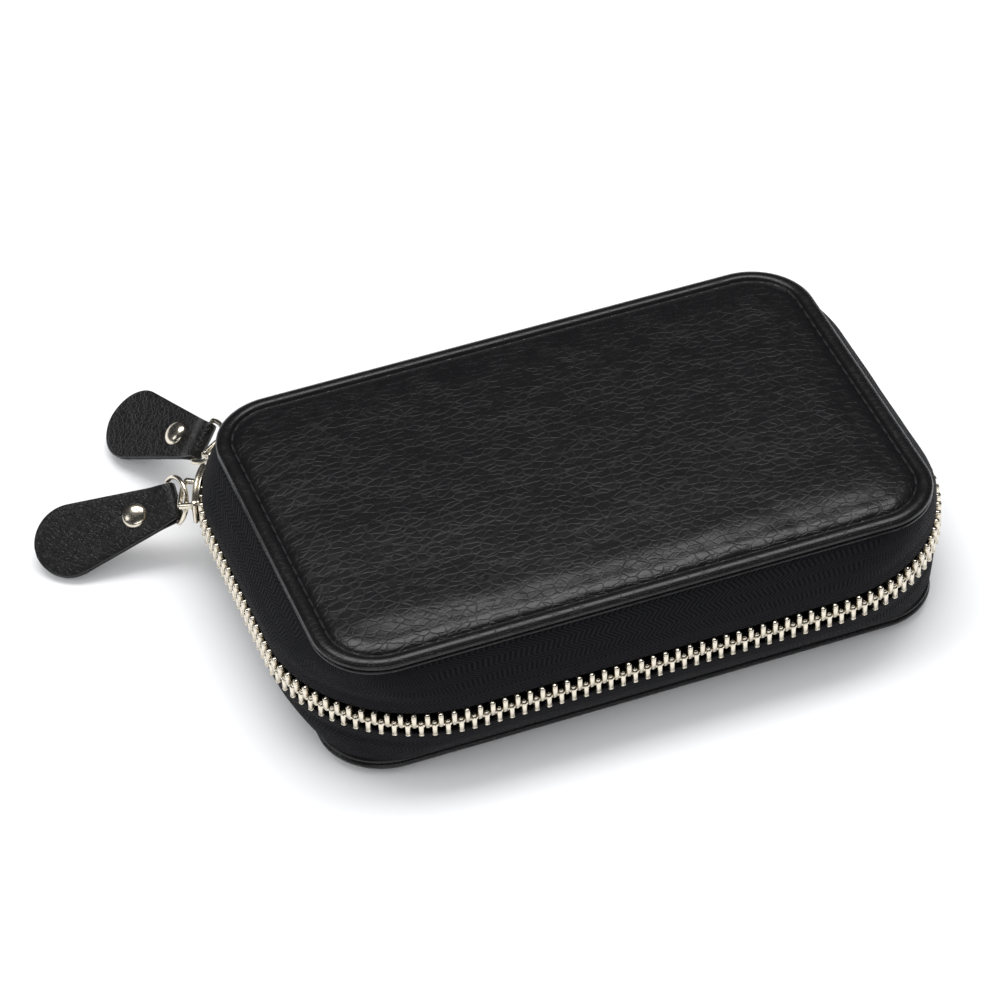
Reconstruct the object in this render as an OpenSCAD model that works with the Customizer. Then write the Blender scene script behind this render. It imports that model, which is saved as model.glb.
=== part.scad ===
// Zip-around pen case: two padded leather panels on a folding spine, a metal zip on three sides
// with two sliders, and rows of pen loops inside.
// Origin: centre of the resting face. +X runs along the long side, +Y to the spine, +Z up.

/* [Panels] */
// Length of the two panels
case_l = 162; // [145:1:200]
// Depth of the two panels, front to spine
case_w = 106; // [92:1:130]
// Height over the two rims of the closed case
body_h = 35.8; // [35:0.2:44]
// Corner radius of the panels
corner_r = 17; // [12:0.5:21]
// How far the padded middle of a panel stands above its rim
crown_h = 1.6; // [0.6:0.1:2.4]
// Width of the slope from the rim to the padded middle
crown_run = 13; // [8:1:20]
// Thickness of the cover leather
leather_t = 1.3; // [0.9:0.1:1.6]
// Thickness of the foam pad at the rim
pad_t = 1.7; // [1:0.1:2.2]
// Thickness of the stiffening board
board_t = 1.2; // [0.8:0.1:1.6]
// Thickness of the lining
lining_t = 0.6; // [0.4:0.1:0.9]
// Width of the rolled rim
rim_w = 3; // [2.4:0.1:4]
// Height of the rolled rim
rim_h = 2.2; // [1.8:0.1:2.8]

/* [Zip] */
// How far the zip stands out past the panels
zip_bulge = 6.5; // [3:0.5:8]
// Corner radius of the zip at the front
zip_front_r = 40; // [30:1:44]
// Corner radius of the zip beside the spine
zip_back_r = 32; // [28:1:38]
// Distance from one tooth to the next in a row
tooth_pitch = 3.2; // [3:0.1:4.2]
// Size of a tooth along the zip
tooth_w = 1.2; // [0.8:0.1:1.25]
// Thickness of a tooth through the tape
tooth_t = 2.4; // [2:0.1:2.6]
// Height of a tooth
tooth_h = 4.4; // [4:0.1:5]
// How far the two rows of teeth reach into each other
tooth_lap = 2.1; // [1.6:0.1:2.4]
// Thickness of the zip tape
tape_t = 1; // [0.7:0.1:1.1]
// Straight edge of the tape beside the teeth
tape_edge = 3.3; // [2.8:0.1:4]
// Angle round the back corners at which the two ends of the zip stop
zip_end = 86; // [85:0.5:87]

/* [Sliders] */
// Length of a slider along the zip
slider_l = 15; // [12:0.5:16]
// Wall of a slider plate
slider_wall = 1.2; // [1:0.1:1.5]
// Clearance between the teeth and a slider
slider_gap = 0.3; // [0.25:0.05:0.4]
// Height of a slider plate
slider_h = 8.8; // [8.6:0.1:9.6]
// Place of the front slider, as an angle round the back corner
front_slider_at = 27; // [25:1:27]
// Place of the rear slider, as an angle round the back corner
rear_slider_at = 58; // [58:1:60]
// Radius of the bridge bar that carries the ring
bar_r = 0.7; // [0.6:0.05:0.8]
// Distance from the slider plate to the middle of the bridge bar
bar_stand = 3.4; // [3.2:0.1:3.8]

/* [Pullers] */
// Radius of the ring wire
wire_r = 0.65; // [0.55:0.05:0.7]
// Radius of the round side of the ring
ring_r = 6; // [5.8:0.1:6.8]
// Straight legs between the round side and the straight bar of the ring
ring_leg = 1; // [0.6:0.1:2]
// Running clearance between the ring bar and the strap
eye_gap = 0.07; // [0.04:0.01:0.1]
// Length of a strap from the ring bar to its tip
strap_l = 38; // [32:1:46]
// Width of a strap at the ring
strap_w0 = 10; // [9:0.1:10]
// Width of a strap at its round end
strap_w1 = 19.6; // [14:0.2:20]
// Thickness of a strap
strap_t = 2.2; // [1.8:0.1:2.6]
// Distance from the ring bar to the rivet
rivet_at = 10.5; // [8.5:0.5:14]
// Diameter of the rivet caps
rivet_d = 6.8; // [5:0.2:8]
// Height of a rivet cap
rivet_h = 1.3; // [0.8:0.1:1.6]

/* [Spine] */
// Distance from the panels to the fold lines
fold_out = 1.5; // [1:0.1:2]
// Height of a fold line above the outside of its panel
fold_in = 4; // [4:0.1:5]
// How far the spine bows out past the fold lines
spine_bow = 4; // [3:0.2:5]
// Gap between the ends of the spine and the zip tapes
spine_gap = 0.4; // [0.3:0.1:1]

/* [Inside] */
// Number of pen loops in a row
loop_count = 4; // [3:1:4]
// Largest pen that a loop takes
pen_d = 14; // [12:0.5:14]
// Distance from one pen to the next
pen_pitch = 22; // [20:0.5:22.5]
// Width of a loop band
loop_w = 18; // [14:1:24]
// Thickness of the elastic of the loops
loop_t = 1; // [0.7:0.1:1.2]
// Distance from the middle of the case to a loop band
loop_at = 35; // [30:1:40]
// Thickness of the pen panel
panel_t = 1.2; // [0.8:0.1:1.4]
// Margin between the lining edge and the pen panel
panel_margin = 3; // [2:0.5:6]
// Thickness of the divider flap
flap_t = 1.2; // [0.8:0.1:1.4]
// Space between the loops and the divider flap
flap_space = 1.4; // [1:0.1:2]
// Length of the divider flap
flap_l = 108; // [90:1:109]
// Depth of the divider flap from its fold
flap_w = 98; // [80:1:100]
// Thickness of the lid pocket
pocket_t = 1.2; // [0.8:0.1:1.4]
// Length of the lid pocket
pocket_l = 140; // [110:1:146]
// Depth of the lid pocket
pocket_w = 66; // [50:1:80]

/* [Hidden] */
$fn = 64;
hull_fn = 48;
side_x = case_l/2 + zip_bulge;                 // zip centre line at the short sides
side_y = case_w/2 + zip_bulge;                 // zip centre line at the front
half_h = body_h/2;                             // from the zip line to the face of a rim
zip_z = crown_h + half_h;                      // height of the zip line
total_h = body_h + 2*crown_h;
back_cx = side_x - zip_back_r;                 // centres of the zip's corner arcs
back_cy = side_y - zip_back_r;
front_cx = side_x - zip_front_r;
front_cy = side_y - zip_front_r;
tooth_end = tooth_h - tooth_lap/2;             // outer end of a tooth, from the zip line
stop_gap = 1.6;                                // from the zip line to an end stop
stop_w = 2.4;
stop_in = 0.4;                                 // middle of an end stop, from the zip's end
edge_end = tooth_end + tape_edge;              // end of the straight tape edge
tape_in = 0.5;                                 // tape edge set back under the rim
stack_in = rim_w + 0.6;                        // board and lining, set back from the rim
cover_low = 0.6;                               // outer edge of the cover below the rim face
pad_face = cover_low + leather_t;              // depth of the pad's outer edge
board_face = pad_face + pad_t;
lining_face = board_face + board_t;
inner_face = lining_face + lining_t;           // depth of the lining's inner face
floor_z = zip_z - half_h + inner_face;         // inside floor of the case
ceiling_z = zip_z + half_h - inner_face;       // inside ceiling of the case
fold_y = case_w/2 + fold_out;
fold_low_z = fold_in;
fold_top_z = total_h - fold_in;
spine_l = 2*(back_cx - spine_gap);
fold_gap = 1.2;                                // from a fold line to the spine strip
spine_half = (fold_top_z - fold_low_z)/2 - fold_gap;
spine_r = (pow(spine_half, 2) + pow(spine_bow, 2))/(2*spine_bow);
spine_cy = fold_y + spine_bow - spine_r;
spine_leather_t = leather_t;
spine_board_t = 0.6;
spine_lining_t = 0.5;
spine_in_r = spine_r - spine_leather_t - spine_board_t - spine_lining_t;
panel_z = floor_z + panel_t;
loop_r = pen_d/2;
loop_top = panel_z + pen_d + loop_t;
flap_z = loop_top + flap_space;
flap_fold_y = spine_cy + sqrt(pow(spine_in_r, 2) - pow(flap_z + flap_t/2 - zip_z, 2)) - flap_t/2 - spine_gap;
slider_half = slider_l/2/zip_back_r*180/PI;    // half length of a slider, as an angle
slot_w = tape_t/2 + 0.4;                       // half width of the tape slot in a slider
lip_h = 0.7;
plate_r = tooth_t/2 + slider_gap;              // inner face of a slider plate, from the zip line
bar_out = plate_r + slider_wall + bar_stand;   // bridge bar, from the zip line
window = 8.2;                                  // length of the bridge's window
post_w = 4;                                    // post of a slider, as an angle
post_h = 2.6;
wedge_gap = 1.5;                               // from the front slider to the cut in the tape, as an angle
binding_w = 2.4;                               // folded edge along the pocket's mouth
binding_t = 1.6;
ring_back = 2;                                 // from the bridge bar to the ring's round side
ring_reach = ring_r + ring_leg - ring_back;    // from the bridge bar to the ring's straight bar
eye_r = 2;
rivet_post_r = 1.4;
// Pose of each puller: roll, droop and heading of the strap, then how much steeper the ring hangs
front_pose = [-27, 18, 168, 46];
rear_pose = [-34, 20, 116, 0];
// Teeth beyond these angles round the back corners give way to the sliders and the folds
left_back_from = 15;
right_back_from = 48;
clear_from = front_slider_at + 6.5;            // no teeth stand between the two slider posts
clear_to = rear_slider_at - 5.5;
arc_back = zip_back_r*zip_end*PI/180;
arc_front = zip_front_r*PI/2;
run_side = back_cy + front_cy;
zip_half = arc_back + run_side + arc_front + front_cx;
tooth_n = floor(2*zip_half/tooth_pitch);

black_leather = [0.05, 0.05, 0.055];
black_fabric = [0.03, 0.03, 0.04];
nickel = [0.8, 0.77, 0.7];

// ---- Placing helpers ----

// Both halves are drawn as the lower one: z = 0 is the zip line, and the outside is at -half_h
module lower_half() translate([0, 0, zip_z]) children();
module upper_half() translate([0, 0, zip_z]) mirror([0, 0, 1]) children();

// Puts a piece at an angle round the left back corner, with +X outwards and +Y along the zip
module at_corner(angle) {
    translate([-back_cx, back_cy, zip_z]) rotate(180 - angle) translate([zip_back_r, 0, 0]) children();
}

// Puts a puller's piece on the bridge bar of the slider that stands at an angle
module at_bar(angle, pose) {
    translate([-back_cx - (zip_back_r + bar_out)*cos(angle),
               back_cy + (zip_back_r + bar_out)*sin(angle), zip_z])
        rotate([pose[0], pose[1], pose[2]]) rotate([0, pose[3], 0]) children();
}

module at_ring_bar(angle, pose) {
    at_bar(angle, pose) translate([ring_reach, 0, 0]) rotate([0, -pose[3], 0]) children();
}

// Left half of the zip's centre line, from its left end: x, y and heading at a length s
function corner_point(s) = let (a = zip_end - s/zip_back_r*180/PI)
    [-back_cx - zip_back_r*cos(a), back_cy + zip_back_r*sin(a), -90 - a];
function front_point(s) = let (a = s/zip_front_r*180/PI)
    [-front_cx - zip_front_r*cos(a), -front_cy - zip_front_r*sin(a), a - 90];
function left_point(s) =
    s < arc_back ? corner_point(s) :
    s < arc_back + run_side ? [-side_x, back_cy - (s - arc_back), -90] :
    s < arc_back + run_side + arc_front ? front_point(s - arc_back - run_side) :
    [s - zip_half, -side_y, 0];
function zip_point(s) = s <= zip_half ? left_point(s) :
    let (p = left_point(2*zip_half - s)) [-p[0], p[1], -p[2]];
function corner_angle(s) = zip_end - s/zip_back_r*180/PI;

// ---- Flat shapes ----

// Rectangle with one corner radius at the front and one at the back
module outline(l, w, r_front, r_back) {
    for (side = [-1, 1]) {
        translate([side*(l/2 - r_front), r_front - w/2]) circle(r_front);
        translate([side*(l/2 - r_back), w/2 - r_back]) circle(r_back);
    }
    polygon([[r_front - l/2, -w/2], [l/2 - r_front, -w/2], [l/2, r_front - w/2], [l/2, w/2 - r_back],
             [l/2 - r_back, w/2], [r_back - l/2, w/2], [-l/2, w/2 - r_back], [-l/2, r_front - w/2]]);
}

module panel_outline(inset) {
    outline(case_l - 2*inset, case_w - 2*inset, corner_r - inset, corner_r - inset);
}

module zip_outline(out) {
    outline(2*(side_x + out), 2*(side_y + out), zip_front_r + out, zip_back_r + out);
}

// A slab of the panel's outline, from one depth to another below the rim's face
module slab(inset, low, high) {
    translate([0, 0, low - half_h]) linear_extrude(high - low) panel_outline(inset);
}

// ---- Panels ----

module pad_shape() {
    hull() {
        slab(rim_w + leather_t, pad_face, board_face, $fn = hull_fn);
        slab(rim_w + crown_run, leather_t - crown_h, pad_face, $fn = hull_fn);
    }
}

module cover() {
    color(black_leather) difference() {
        hull() {
            slab(rim_w, cover_low, pad_face, $fn = hull_fn);
            slab(rim_w + crown_run, -crown_h, pad_face, $fn = hull_fn);
        }
        pad_shape();
    }
}

module pad() color("dimgray") pad_shape();
module board() color("tan") slab(stack_in, board_face, lining_face);
module lining() color("darkslategray") slab(stack_in, lining_face, inner_face);

// The rolled rim: a bead with a flat foot, swept round the panel's edge
module rim_profile() {
    translate([-rim_w, 0]) square([rim_w - rim_h/2, rim_h]);
    translate([-rim_h/2, rim_h/2]) circle(rim_h/2);
}

module rim() {
    straight_x = case_l - 2*corner_r;
    straight_y = case_w - 2*corner_r;
    color(black_leather) translate([0, 0, -half_h]) for (turn = [0, 180]) rotate(turn) {
        translate([case_l/2 - corner_r, case_w/2 - corner_r, 0])
            rotate_extrude(angle = 90) translate([corner_r, 0]) rim_profile();
        translate([corner_r - case_l/2, case_w/2 - corner_r, 0]) rotate(90)
            rotate_extrude(angle = 90) translate([corner_r, 0]) rim_profile();
        translate([case_l/2, straight_y/2, 0]) rotate([90, 0, 0])
            linear_extrude(straight_y) rim_profile();
        translate([-straight_x/2, case_w/2, 0]) rotate([90, 0, 90])
            linear_extrude(straight_x) rim_profile();
    }
}

// ---- Zip ----

// One layer of the tape's shape: the slope up to the rim, and the straight edge by the teeth
module tape_slope(out) {
    hull() {
        translate([0, 0, rim_h - half_h]) linear_extrude(0.01) panel_outline(tape_in - out, $fn = hull_fn);
        translate([0, 0, -edge_end - 0.01]) linear_extrude(0.01) zip_outline(out, $fn = hull_fn);
    }
}

module tape_ring() {
    difference() {
        tape_slope(tape_t/2);
        tape_slope(-tape_t/2);
    }
    translate([0, 0, -edge_end]) linear_extrude(tape_edge) difference() {
        zip_outline(tape_t/2);
        zip_outline(-tape_t/2);
    }
}

// The wedge of the left back corner that the rear slider works in
module slider_wedge() {
    reach = 3*zip_back_r;
    a0 = front_slider_at + slider_half + wedge_gap;
    translate([-back_cx, back_cy, -half_h]) linear_extrude(half_h)
        polygon([[0, 0], [-reach*cos(a0), reach*sin(a0)], [-reach*cos(zip_end), reach],
                 [0, reach]]);
}

module tape() {
    color(black_fabric) difference() {
        tape_ring();
        translate([-back_cx, back_cy, -half_h]) cube([2*back_cx, case_w, half_h]);
    }
}

module tooth(p) {
    translate([p[0], p[1], 0]) rotate(p[2]) translate([-tooth_w/2, -tooth_t/2, -tooth_end])
        cube([tooth_w, tooth_t, tooth_h]);
}

// Teeth of one row; shift moves the row by half a pitch, back picks the stretches beside the spine
module teeth(shift, back) {
    color(nickel) for (i = [1 : tooth_n - 2]) {
        s = (i + shift)*tooth_pitch;
        left = corner_angle(s);
        at_back = left > left_back_from || corner_angle(2*zip_half - s) > right_back_from;
        if (at_back == back && (left < clear_from || left > clear_to)) tooth(zip_point(s));
    }
}

module end_stop(s) {
    p = zip_point(s);
    translate([p[0], p[1], 0]) rotate(p[2]) translate([-stop_w/2, -tooth_t/2, -tooth_end])
        cube([stop_w, tooth_t, tooth_end - stop_gap]);
}

module end_stops() {
    color(nickel) {
        end_stop(stop_in);
        end_stop(2*zip_half - stop_in);
    }
}

// ---- Sliders ----

// A curved wall of a slider, between two distances from the zip line and two heights
module slider_wall_piece(r0, r1, z0, z1, a0, a1) {
    translate([-back_cx, back_cy, zip_z + z0]) rotate(180 - a1)
        rotate_extrude(angle = a1 - a0, $fn = 128) translate([zip_back_r + r0, 0]) square([r1 - r0, z1 - z0]);
}

// lead is -1 or 1: the end of the slider that holds the post
module slider(angle, lead) {
    a0 = angle - slider_half;
    a1 = angle + slider_half;
    post_at = angle + lead*(slider_half - post_w/2 - 1);
    plate_z = slider_h/2;
    arm = 1.6;
    color(nickel) {
        for (side = [-1, 1]) {
            inner = side > 0 ? plate_r : -plate_r - slider_wall;
            slider_wall_piece(inner, inner + slider_wall, -plate_z, plate_z, a0, a1);
            lip = side > 0 ? slot_w : -plate_r;
            for (z0 = [-plate_z, plate_z - lip_h])
                slider_wall_piece(lip, lip + plate_r - slot_w, z0, z0 + lip_h, a0, a1);
        }
        post_r = plate_r + slider_wall/2;
        slider_wall_piece(-post_r, post_r, -post_h/2, post_h/2, post_at - post_w/2, post_at + post_w/2);
        at_corner(angle) {
            for (side = [-1, 1]) {
                translate([plate_r + slider_wall/2, side*(window + arm)/2 - arm/2, -bar_r])
                    cube([bar_stand + slider_wall/2, arm, 2*bar_r]);
                translate([bar_out, side*(window + arm)/2 + arm/2, 0]) rotate([90, 0, 0])
                    cylinder(r = bar_r, h = arm, $fn = 32);
            }
            translate([bar_out, window/2 + 0.1, 0]) rotate([90, 0, 0])
                cylinder(r = bar_r, h = window + 0.2, $fn = 32);
        }
    }
}

// ---- Pullers ----

// D-shaped ring of wire: the round side passes under the bridge bar
module ring() {
    color(nickel) {
        translate([ring_r - ring_back, 0, 0]) rotate(90)
            rotate_extrude(angle = 180, $fn = 96) translate([ring_r, 0]) circle(wire_r, $fn = 32);
        for (side = [-1, 1]) {
            translate([ring_reach - ring_leg, side*ring_r, 0]) rotate([0, 90, 0])
                cylinder(r = wire_r, h = ring_leg, $fn = 32);
            translate([ring_reach, side*ring_r, 0]) sphere(wire_r, $fn = 32);
        }
        translate([ring_reach, ring_r, 0]) rotate([90, 0, 0]) cylinder(r = wire_r, h = 2*ring_r, $fn = 32);
    }
}

// Leather strap, folded round the ring's bar at its narrow end
module strap() {
    neck = strap_w0/2;
    end_r = strap_w1/2;
    end_x = strap_l - end_r;
    taper = asin((end_r - neck)/end_x);
    arc = 90 + taper;
    tip = [for (i = [0 : 48]) let (a = arc - i*arc/24) [end_x + end_r*cos(a), end_r*sin(a)]];
    color(black_leather) difference() {
        union() {
            translate([0, neck, 0]) rotate([90, 0, 0]) cylinder(r = eye_r, h = strap_w0);
            translate([0, 0, -strap_t/2]) linear_extrude(strap_t)
                polygon(concat([[1, -neck], [1, neck]], tip));
        }
        translate([0, strap_w0, 0]) rotate([90, 0, 0]) cylinder(r = wire_r + eye_gap, h = 2*strap_w0);
        translate([rivet_at, 0, -strap_t]) cylinder(r = rivet_post_r, h = 2*strap_t);
    }
}

// Double-cap rivet through the strap
module rivet() {
    dome_r = (pow(rivet_d/2, 2) + pow(rivet_h, 2))/(2*rivet_h);
    color(nickel) translate([rivet_at, 0, 0]) {
        cylinder(r = rivet_post_r, h = strap_t, center = true);
        for (side = [0, 180]) rotate([side, 0, 0]) translate([0, 0, strap_t/2]) intersection() {
            translate([0, 0, rivet_h - dome_r]) sphere(dome_r);
            cylinder(d = rivet_d, h = rivet_h);
        }
    }
}

// ---- Spine ----

// A layer of the bowed spine between two radii
module spine_layer(r_out, r_in) {
    translate([-spine_l/2, 0, zip_z]) rotate([90, 0, 90]) linear_extrude(spine_l) intersection() {
        translate([spine_cy, 0]) difference() {
            circle(r_out, $fn = 128);
            circle(r_in, $fn = 128);
        }
        translate([spine_cy, -spine_half]) square([case_w, 2*spine_half]);
    }
}

module spine_cover() color(black_leather) spine_layer(spine_r, spine_r - spine_leather_t);
module spine_board() color("tan")
    spine_layer(spine_r - spine_leather_t, spine_in_r + spine_lining_t);
module spine_lining() color("darkslategray") spine_layer(spine_in_r + spine_lining_t, spine_in_r);

// ---- Inside ----

module pen_panel() {
    color(black_leather) translate([0, 0, floor_z]) linear_extrude(panel_t)
        panel_outline(stack_in + panel_margin);
}

// A band of elastic sewn down between the pens, so that it stands up in a row of loops
module pen_loops(side) {
    foot = (pen_pitch - pen_d)/2;
    color("black") translate([side*loop_at - loop_w/2, 0, panel_z]) rotate([90, 0, 90])
        linear_extrude(loop_w) for (i = [0 : loop_count - 1]) translate([(i - (loop_count - 1)/2)*pen_pitch, 0]) {
            difference() {
                union() {
                    translate([0, loop_r]) circle(loop_r + loop_t);
                    translate([-loop_r - loop_t, 0]) square([pen_d + 2*loop_t, loop_r]);
                    translate([-pen_pitch/2, 0]) square([pen_pitch, loop_t]);
                }
                translate([0, loop_r]) circle(loop_r);
                translate([-loop_r, -1]) square([pen_d, loop_r + 1]);
                translate([-pen_pitch, -pen_d]) square([2*pen_pitch, pen_d]);
            }
        }
}

module lid_pocket() {
    color(black_leather) translate([-pocket_l/2, -case_w/2 + stack_in + panel_margin, ceiling_z - pocket_t])
        cube([pocket_l, pocket_w, pocket_t]);
}

// Folded edge along the pocket's mouth
module lid_pocket_binding() {
    color(black_leather)
        translate([-pocket_l/2, -case_w/2 + stack_in + panel_margin + pocket_w, ceiling_z - binding_t])
            cube([pocket_l, binding_w, binding_t]);
}

// Page between the pens and the lid, which turns on the inside of the spine
module divider_flap() {
    edge_r = 12;
    color(black_leather) {
        translate([0, 0, flap_z]) linear_extrude(flap_t) {
            translate([-flap_l/2, flap_fold_y - flap_w + edge_r]) square([flap_l, flap_w - edge_r]);
            translate([edge_r - flap_l/2, flap_fold_y - flap_w]) square([flap_l - 2*edge_r, flap_w]);
            for (side = [-1, 1]) translate([side*(flap_l/2 - edge_r), flap_fold_y - flap_w + edge_r])
                circle(edge_r);
        }
        translate([-flap_l/2, flap_fold_y, flap_z + flap_t/2]) rotate([0, 90, 0])
            cylinder(d = flap_t, h = flap_l, $fn = 32);
    }
}

lower_half() cover();  // bottom_cover
lower_half() rim();  // bottom_rim
lower_half() pad();  // bottom_pad
lower_half() board();  // bottom_board
lower_half() lining();  // bottom_lining
lower_half() tape();  // lower_tape
lower_half() teeth(0, false);  // lower_teeth
lower_half() teeth(0, true);  // lower_teeth_back
lower_half() end_stops();  // lower_end_stops
pen_panel();
pen_loops(-1);  // pen_loops_left
pen_loops(1);  // pen_loops_right
spine_cover();
spine_board();
spine_lining();
upper_half() cover();  // top_cover
upper_half() rim();  // top_rim
upper_half() pad();  // top_pad
upper_half() board();  // top_board
upper_half() lining();  // top_lining
upper_half() difference() {  // upper_tape
    tape();
    slider_wedge();
}
upper_half() intersection() {  // upper_tape_back_left
    tape();
    slider_wedge();
}
upper_half() teeth(0.5, false);  // upper_teeth
upper_half() teeth(0.5, true);  // upper_teeth_back
upper_half() end_stops();  // upper_end_stops
lid_pocket();
lid_pocket_binding();
divider_flap();
slider(front_slider_at, 1);  // front_slider
at_bar(front_slider_at, front_pose) ring();  // front_ring
at_ring_bar(front_slider_at, front_pose) strap();  // front_strap
at_ring_bar(front_slider_at, front_pose) rivet();  // front_rivet
slider(rear_slider_at, -1);  // rear_slider
at_bar(rear_slider_at, rear_pose) ring();  // rear_ring
at_ring_bar(rear_slider_at, rear_pose) strap();  // rear_strap
at_ring_bar(rear_slider_at, rear_pose) rivet();  // rear_rivet
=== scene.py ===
"""Looks of a zip-around pen case: leather, tape, metal zip, pullers and the inside, built round the CAD frame."""

import logging
import math
from dataclasses import dataclass, field
from enum import Enum
from typing import Callable, Iterable

import bmesh
import bpy
from mathutils import Matrix, Vector, noise
from mathutils.bvhtree import BVHTree


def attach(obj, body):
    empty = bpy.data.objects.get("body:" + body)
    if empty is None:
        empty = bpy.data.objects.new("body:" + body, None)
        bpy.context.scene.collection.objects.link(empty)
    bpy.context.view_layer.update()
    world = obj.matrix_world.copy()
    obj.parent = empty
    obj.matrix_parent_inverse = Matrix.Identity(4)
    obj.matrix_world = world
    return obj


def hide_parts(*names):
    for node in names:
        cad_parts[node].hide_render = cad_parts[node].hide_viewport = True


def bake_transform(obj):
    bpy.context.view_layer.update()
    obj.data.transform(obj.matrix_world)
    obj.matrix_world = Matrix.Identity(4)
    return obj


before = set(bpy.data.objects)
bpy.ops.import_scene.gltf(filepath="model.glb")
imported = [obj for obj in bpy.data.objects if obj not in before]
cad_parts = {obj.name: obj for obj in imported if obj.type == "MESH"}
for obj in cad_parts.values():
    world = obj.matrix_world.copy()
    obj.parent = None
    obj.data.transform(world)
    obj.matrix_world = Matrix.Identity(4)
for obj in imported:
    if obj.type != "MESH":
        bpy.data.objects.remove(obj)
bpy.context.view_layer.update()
log = logging.getLogger("pen_case")
MM = 0.001
MERGE = 0.004  # millimetres within which two vertices are one
Surface = Callable[[float, float], tuple[float, float, float]]


class Side(Enum):
    """The two halves of the case, by the direction of their outside."""

    BOTTOM = -1
    TOP = 1

    @property
    def body(self) -> str:
        """The CAD body that this half rides on."""
        return "base" if self is Side.BOTTOM else "lid"

    @property
    def panel(self) -> str:
        """The first word of this half's panel nodes."""
        return "bottom" if self is Side.BOTTOM else "top"

    @property
    def zip(self) -> str:
        """The first word of this half's zip nodes."""
        return "lower" if self is Side.BOTTOM else "upper"


# ---------------------------------------------------------------- mesh helpers


def smoothstep(low: float, high: float, x: float) -> float:
    """Rises smoothly from 0 at low to 1 at high."""
    t = min(max((x - low) / (high - low), 0.0), 1.0)
    return t * t * (3 - 2 * t)


def ripple(x: float, y: float, seed: float) -> float:
    """Smooth noise from -1 to 1 at a point, different for each seed."""
    return noise.noise(Vector((x, y, seed)))


def finish_piece(
    bm: bmesh.types.BMesh, name: str, material: bpy.types.Material, outward: bool = True
) -> bpy.types.Object:
    """Turns a bmesh in millimetres into a smooth-shaded piece in metres.

    Args:
        bm: The mesh, which is freed.
        name: The piece's name.
        material: The finish of every face.
        outward: Whether the normals are worked out again.

    Returns:
        The piece, at the origin.
    """
    bmesh.ops.remove_doubles(bm, verts=bm.verts, dist=MERGE)
    if outward:
        bmesh.ops.recalc_face_normals(bm, faces=bm.faces)
    bmesh.ops.scale(bm, vec=(MM, MM, MM), verts=bm.verts)
    mesh = bpy.data.meshes.new(name)
    bm.to_mesh(mesh)
    bm.free()
    for polygon in mesh.polygons:
        polygon.use_smooth = True
    piece = bpy.data.objects.new(name, mesh)
    bpy.context.scene.collection.objects.link(piece)
    piece.data.materials.append(material)
    return piece


def add_surface(
    bm: bmesh.types.BMesh, along: int, across: int, shape: Surface, size: tuple[float, float] = (1, 1)
) -> list[bmesh.types.BMVert]:
    """Adds a grid bent to a surface, with a UV map in millimetres along and across it.

    Args:
        bm: The mesh to add to.
        along: Faces along the surface.
        across: Faces across it.
        shape: Gives the point for (u, v), each from 0 to 1.
        size: Length along and across, in millimetres, for the UV map.

    Returns:
        The grid's vertices.
    """
    grid = bmesh.ops.create_grid(bm, x_segments=along, y_segments=across, size=0.5)["verts"]
    uv_layer = bm.loops.layers.uv.verify()
    for face in {face for vert in grid for face in vert.link_faces}:
        for loop in face.loops:
            place = loop.vert.co
            loop[uv_layer].uv = ((place.x + 0.5) * size[0], (place.y + 0.5) * size[1])
    for vert in grid:
        vert.co = shape(vert.co.x + 0.5, vert.co.y + 0.5)
    return grid


def grid_lines(half: float, fine: Iterable[float], step: float) -> list[float]:
    """Grid lines from −half to half: the fine ones by each edge, and then evenly spaced ones.

    Args:
        half: Half of the whole width.
        fine: Distances from the edge of the fine lines, from 0.
        step: About how far apart the others are.

    Returns:
        The lines, in order.
    """
    edge = list(fine)
    rest = 2 * (half - edge[-1])
    count = max(1, round(rest / step))
    low = [-half + value for value in edge]
    middle = [low[-1] + rest * number / count for number in range(1, count)]
    return low + middle + [-value for value in reversed(low)]


def add_rounded_grid(
    bm: bmesh.types.BMesh, outline: "Outline", xs: list[float], ys: list[float],
    height: Callable[[float, float], float],
) -> list[bmesh.types.BMVert]:
    """Adds a grid whose four corners follow a rounded outline, at a height given for each point.

    Args:
        bm: The mesh to add to.
        outline: The rounded outline.
        xs: Grid lines along X.
        ys: Grid lines along Y.
        height: Gives the height at (x, y).

    Returns:
        The grid's vertices.
    """
    grid = bmesh.ops.create_grid(bm, x_segments=len(xs) - 1, y_segments=len(ys) - 1, size=0.5)["verts"]
    cx, cy = outline.half_l - outline.r_front, outline.half_w - outline.r_front
    for vert in grid:
        x = xs[round((vert.co.x + 0.5) * (len(xs) - 1))]
        y = ys[round((vert.co.y + 0.5) * (len(ys) - 1))]
        dx, dy = abs(x) - cx, abs(y) - cy
        if dx > 0 and dy > 0:
            ratio = max(dx, dy) / math.hypot(dx, dy)
            x, y = math.copysign(cx + dx * ratio, x), math.copysign(cy + dy * ratio, y)
        vert.co = (x, y, height(x, y))
    return grid


def add_block(
    bm: bmesh.types.BMesh, size: tuple[float, float, float], place: Matrix, bevel: float, segments: int = 2
) -> list[bmesh.types.BMVert]:
    """Adds a block with bevelled edges.

    Args:
        bm: The mesh to add to.
        size: The block's three sides, in millimetres.
        place: Where it stands.
        bevel: Width of the bevel.
        segments: Faces across the bevel.

    Returns:
        The block's vertices.
    """
    other = bmesh.new()
    bmesh.ops.create_cube(other, size=1)
    bmesh.ops.scale(other, vec=size, verts=other.verts)
    bmesh.ops.bevel(
        other, geom=other.edges, offset=bevel, offset_type="OFFSET", affect="EDGES",
        segments=segments, profile=0.5, material=-1,
    )
    bmesh.ops.transform(other, matrix=place, verts=other.verts)
    return merge_in(bm, other)


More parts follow.
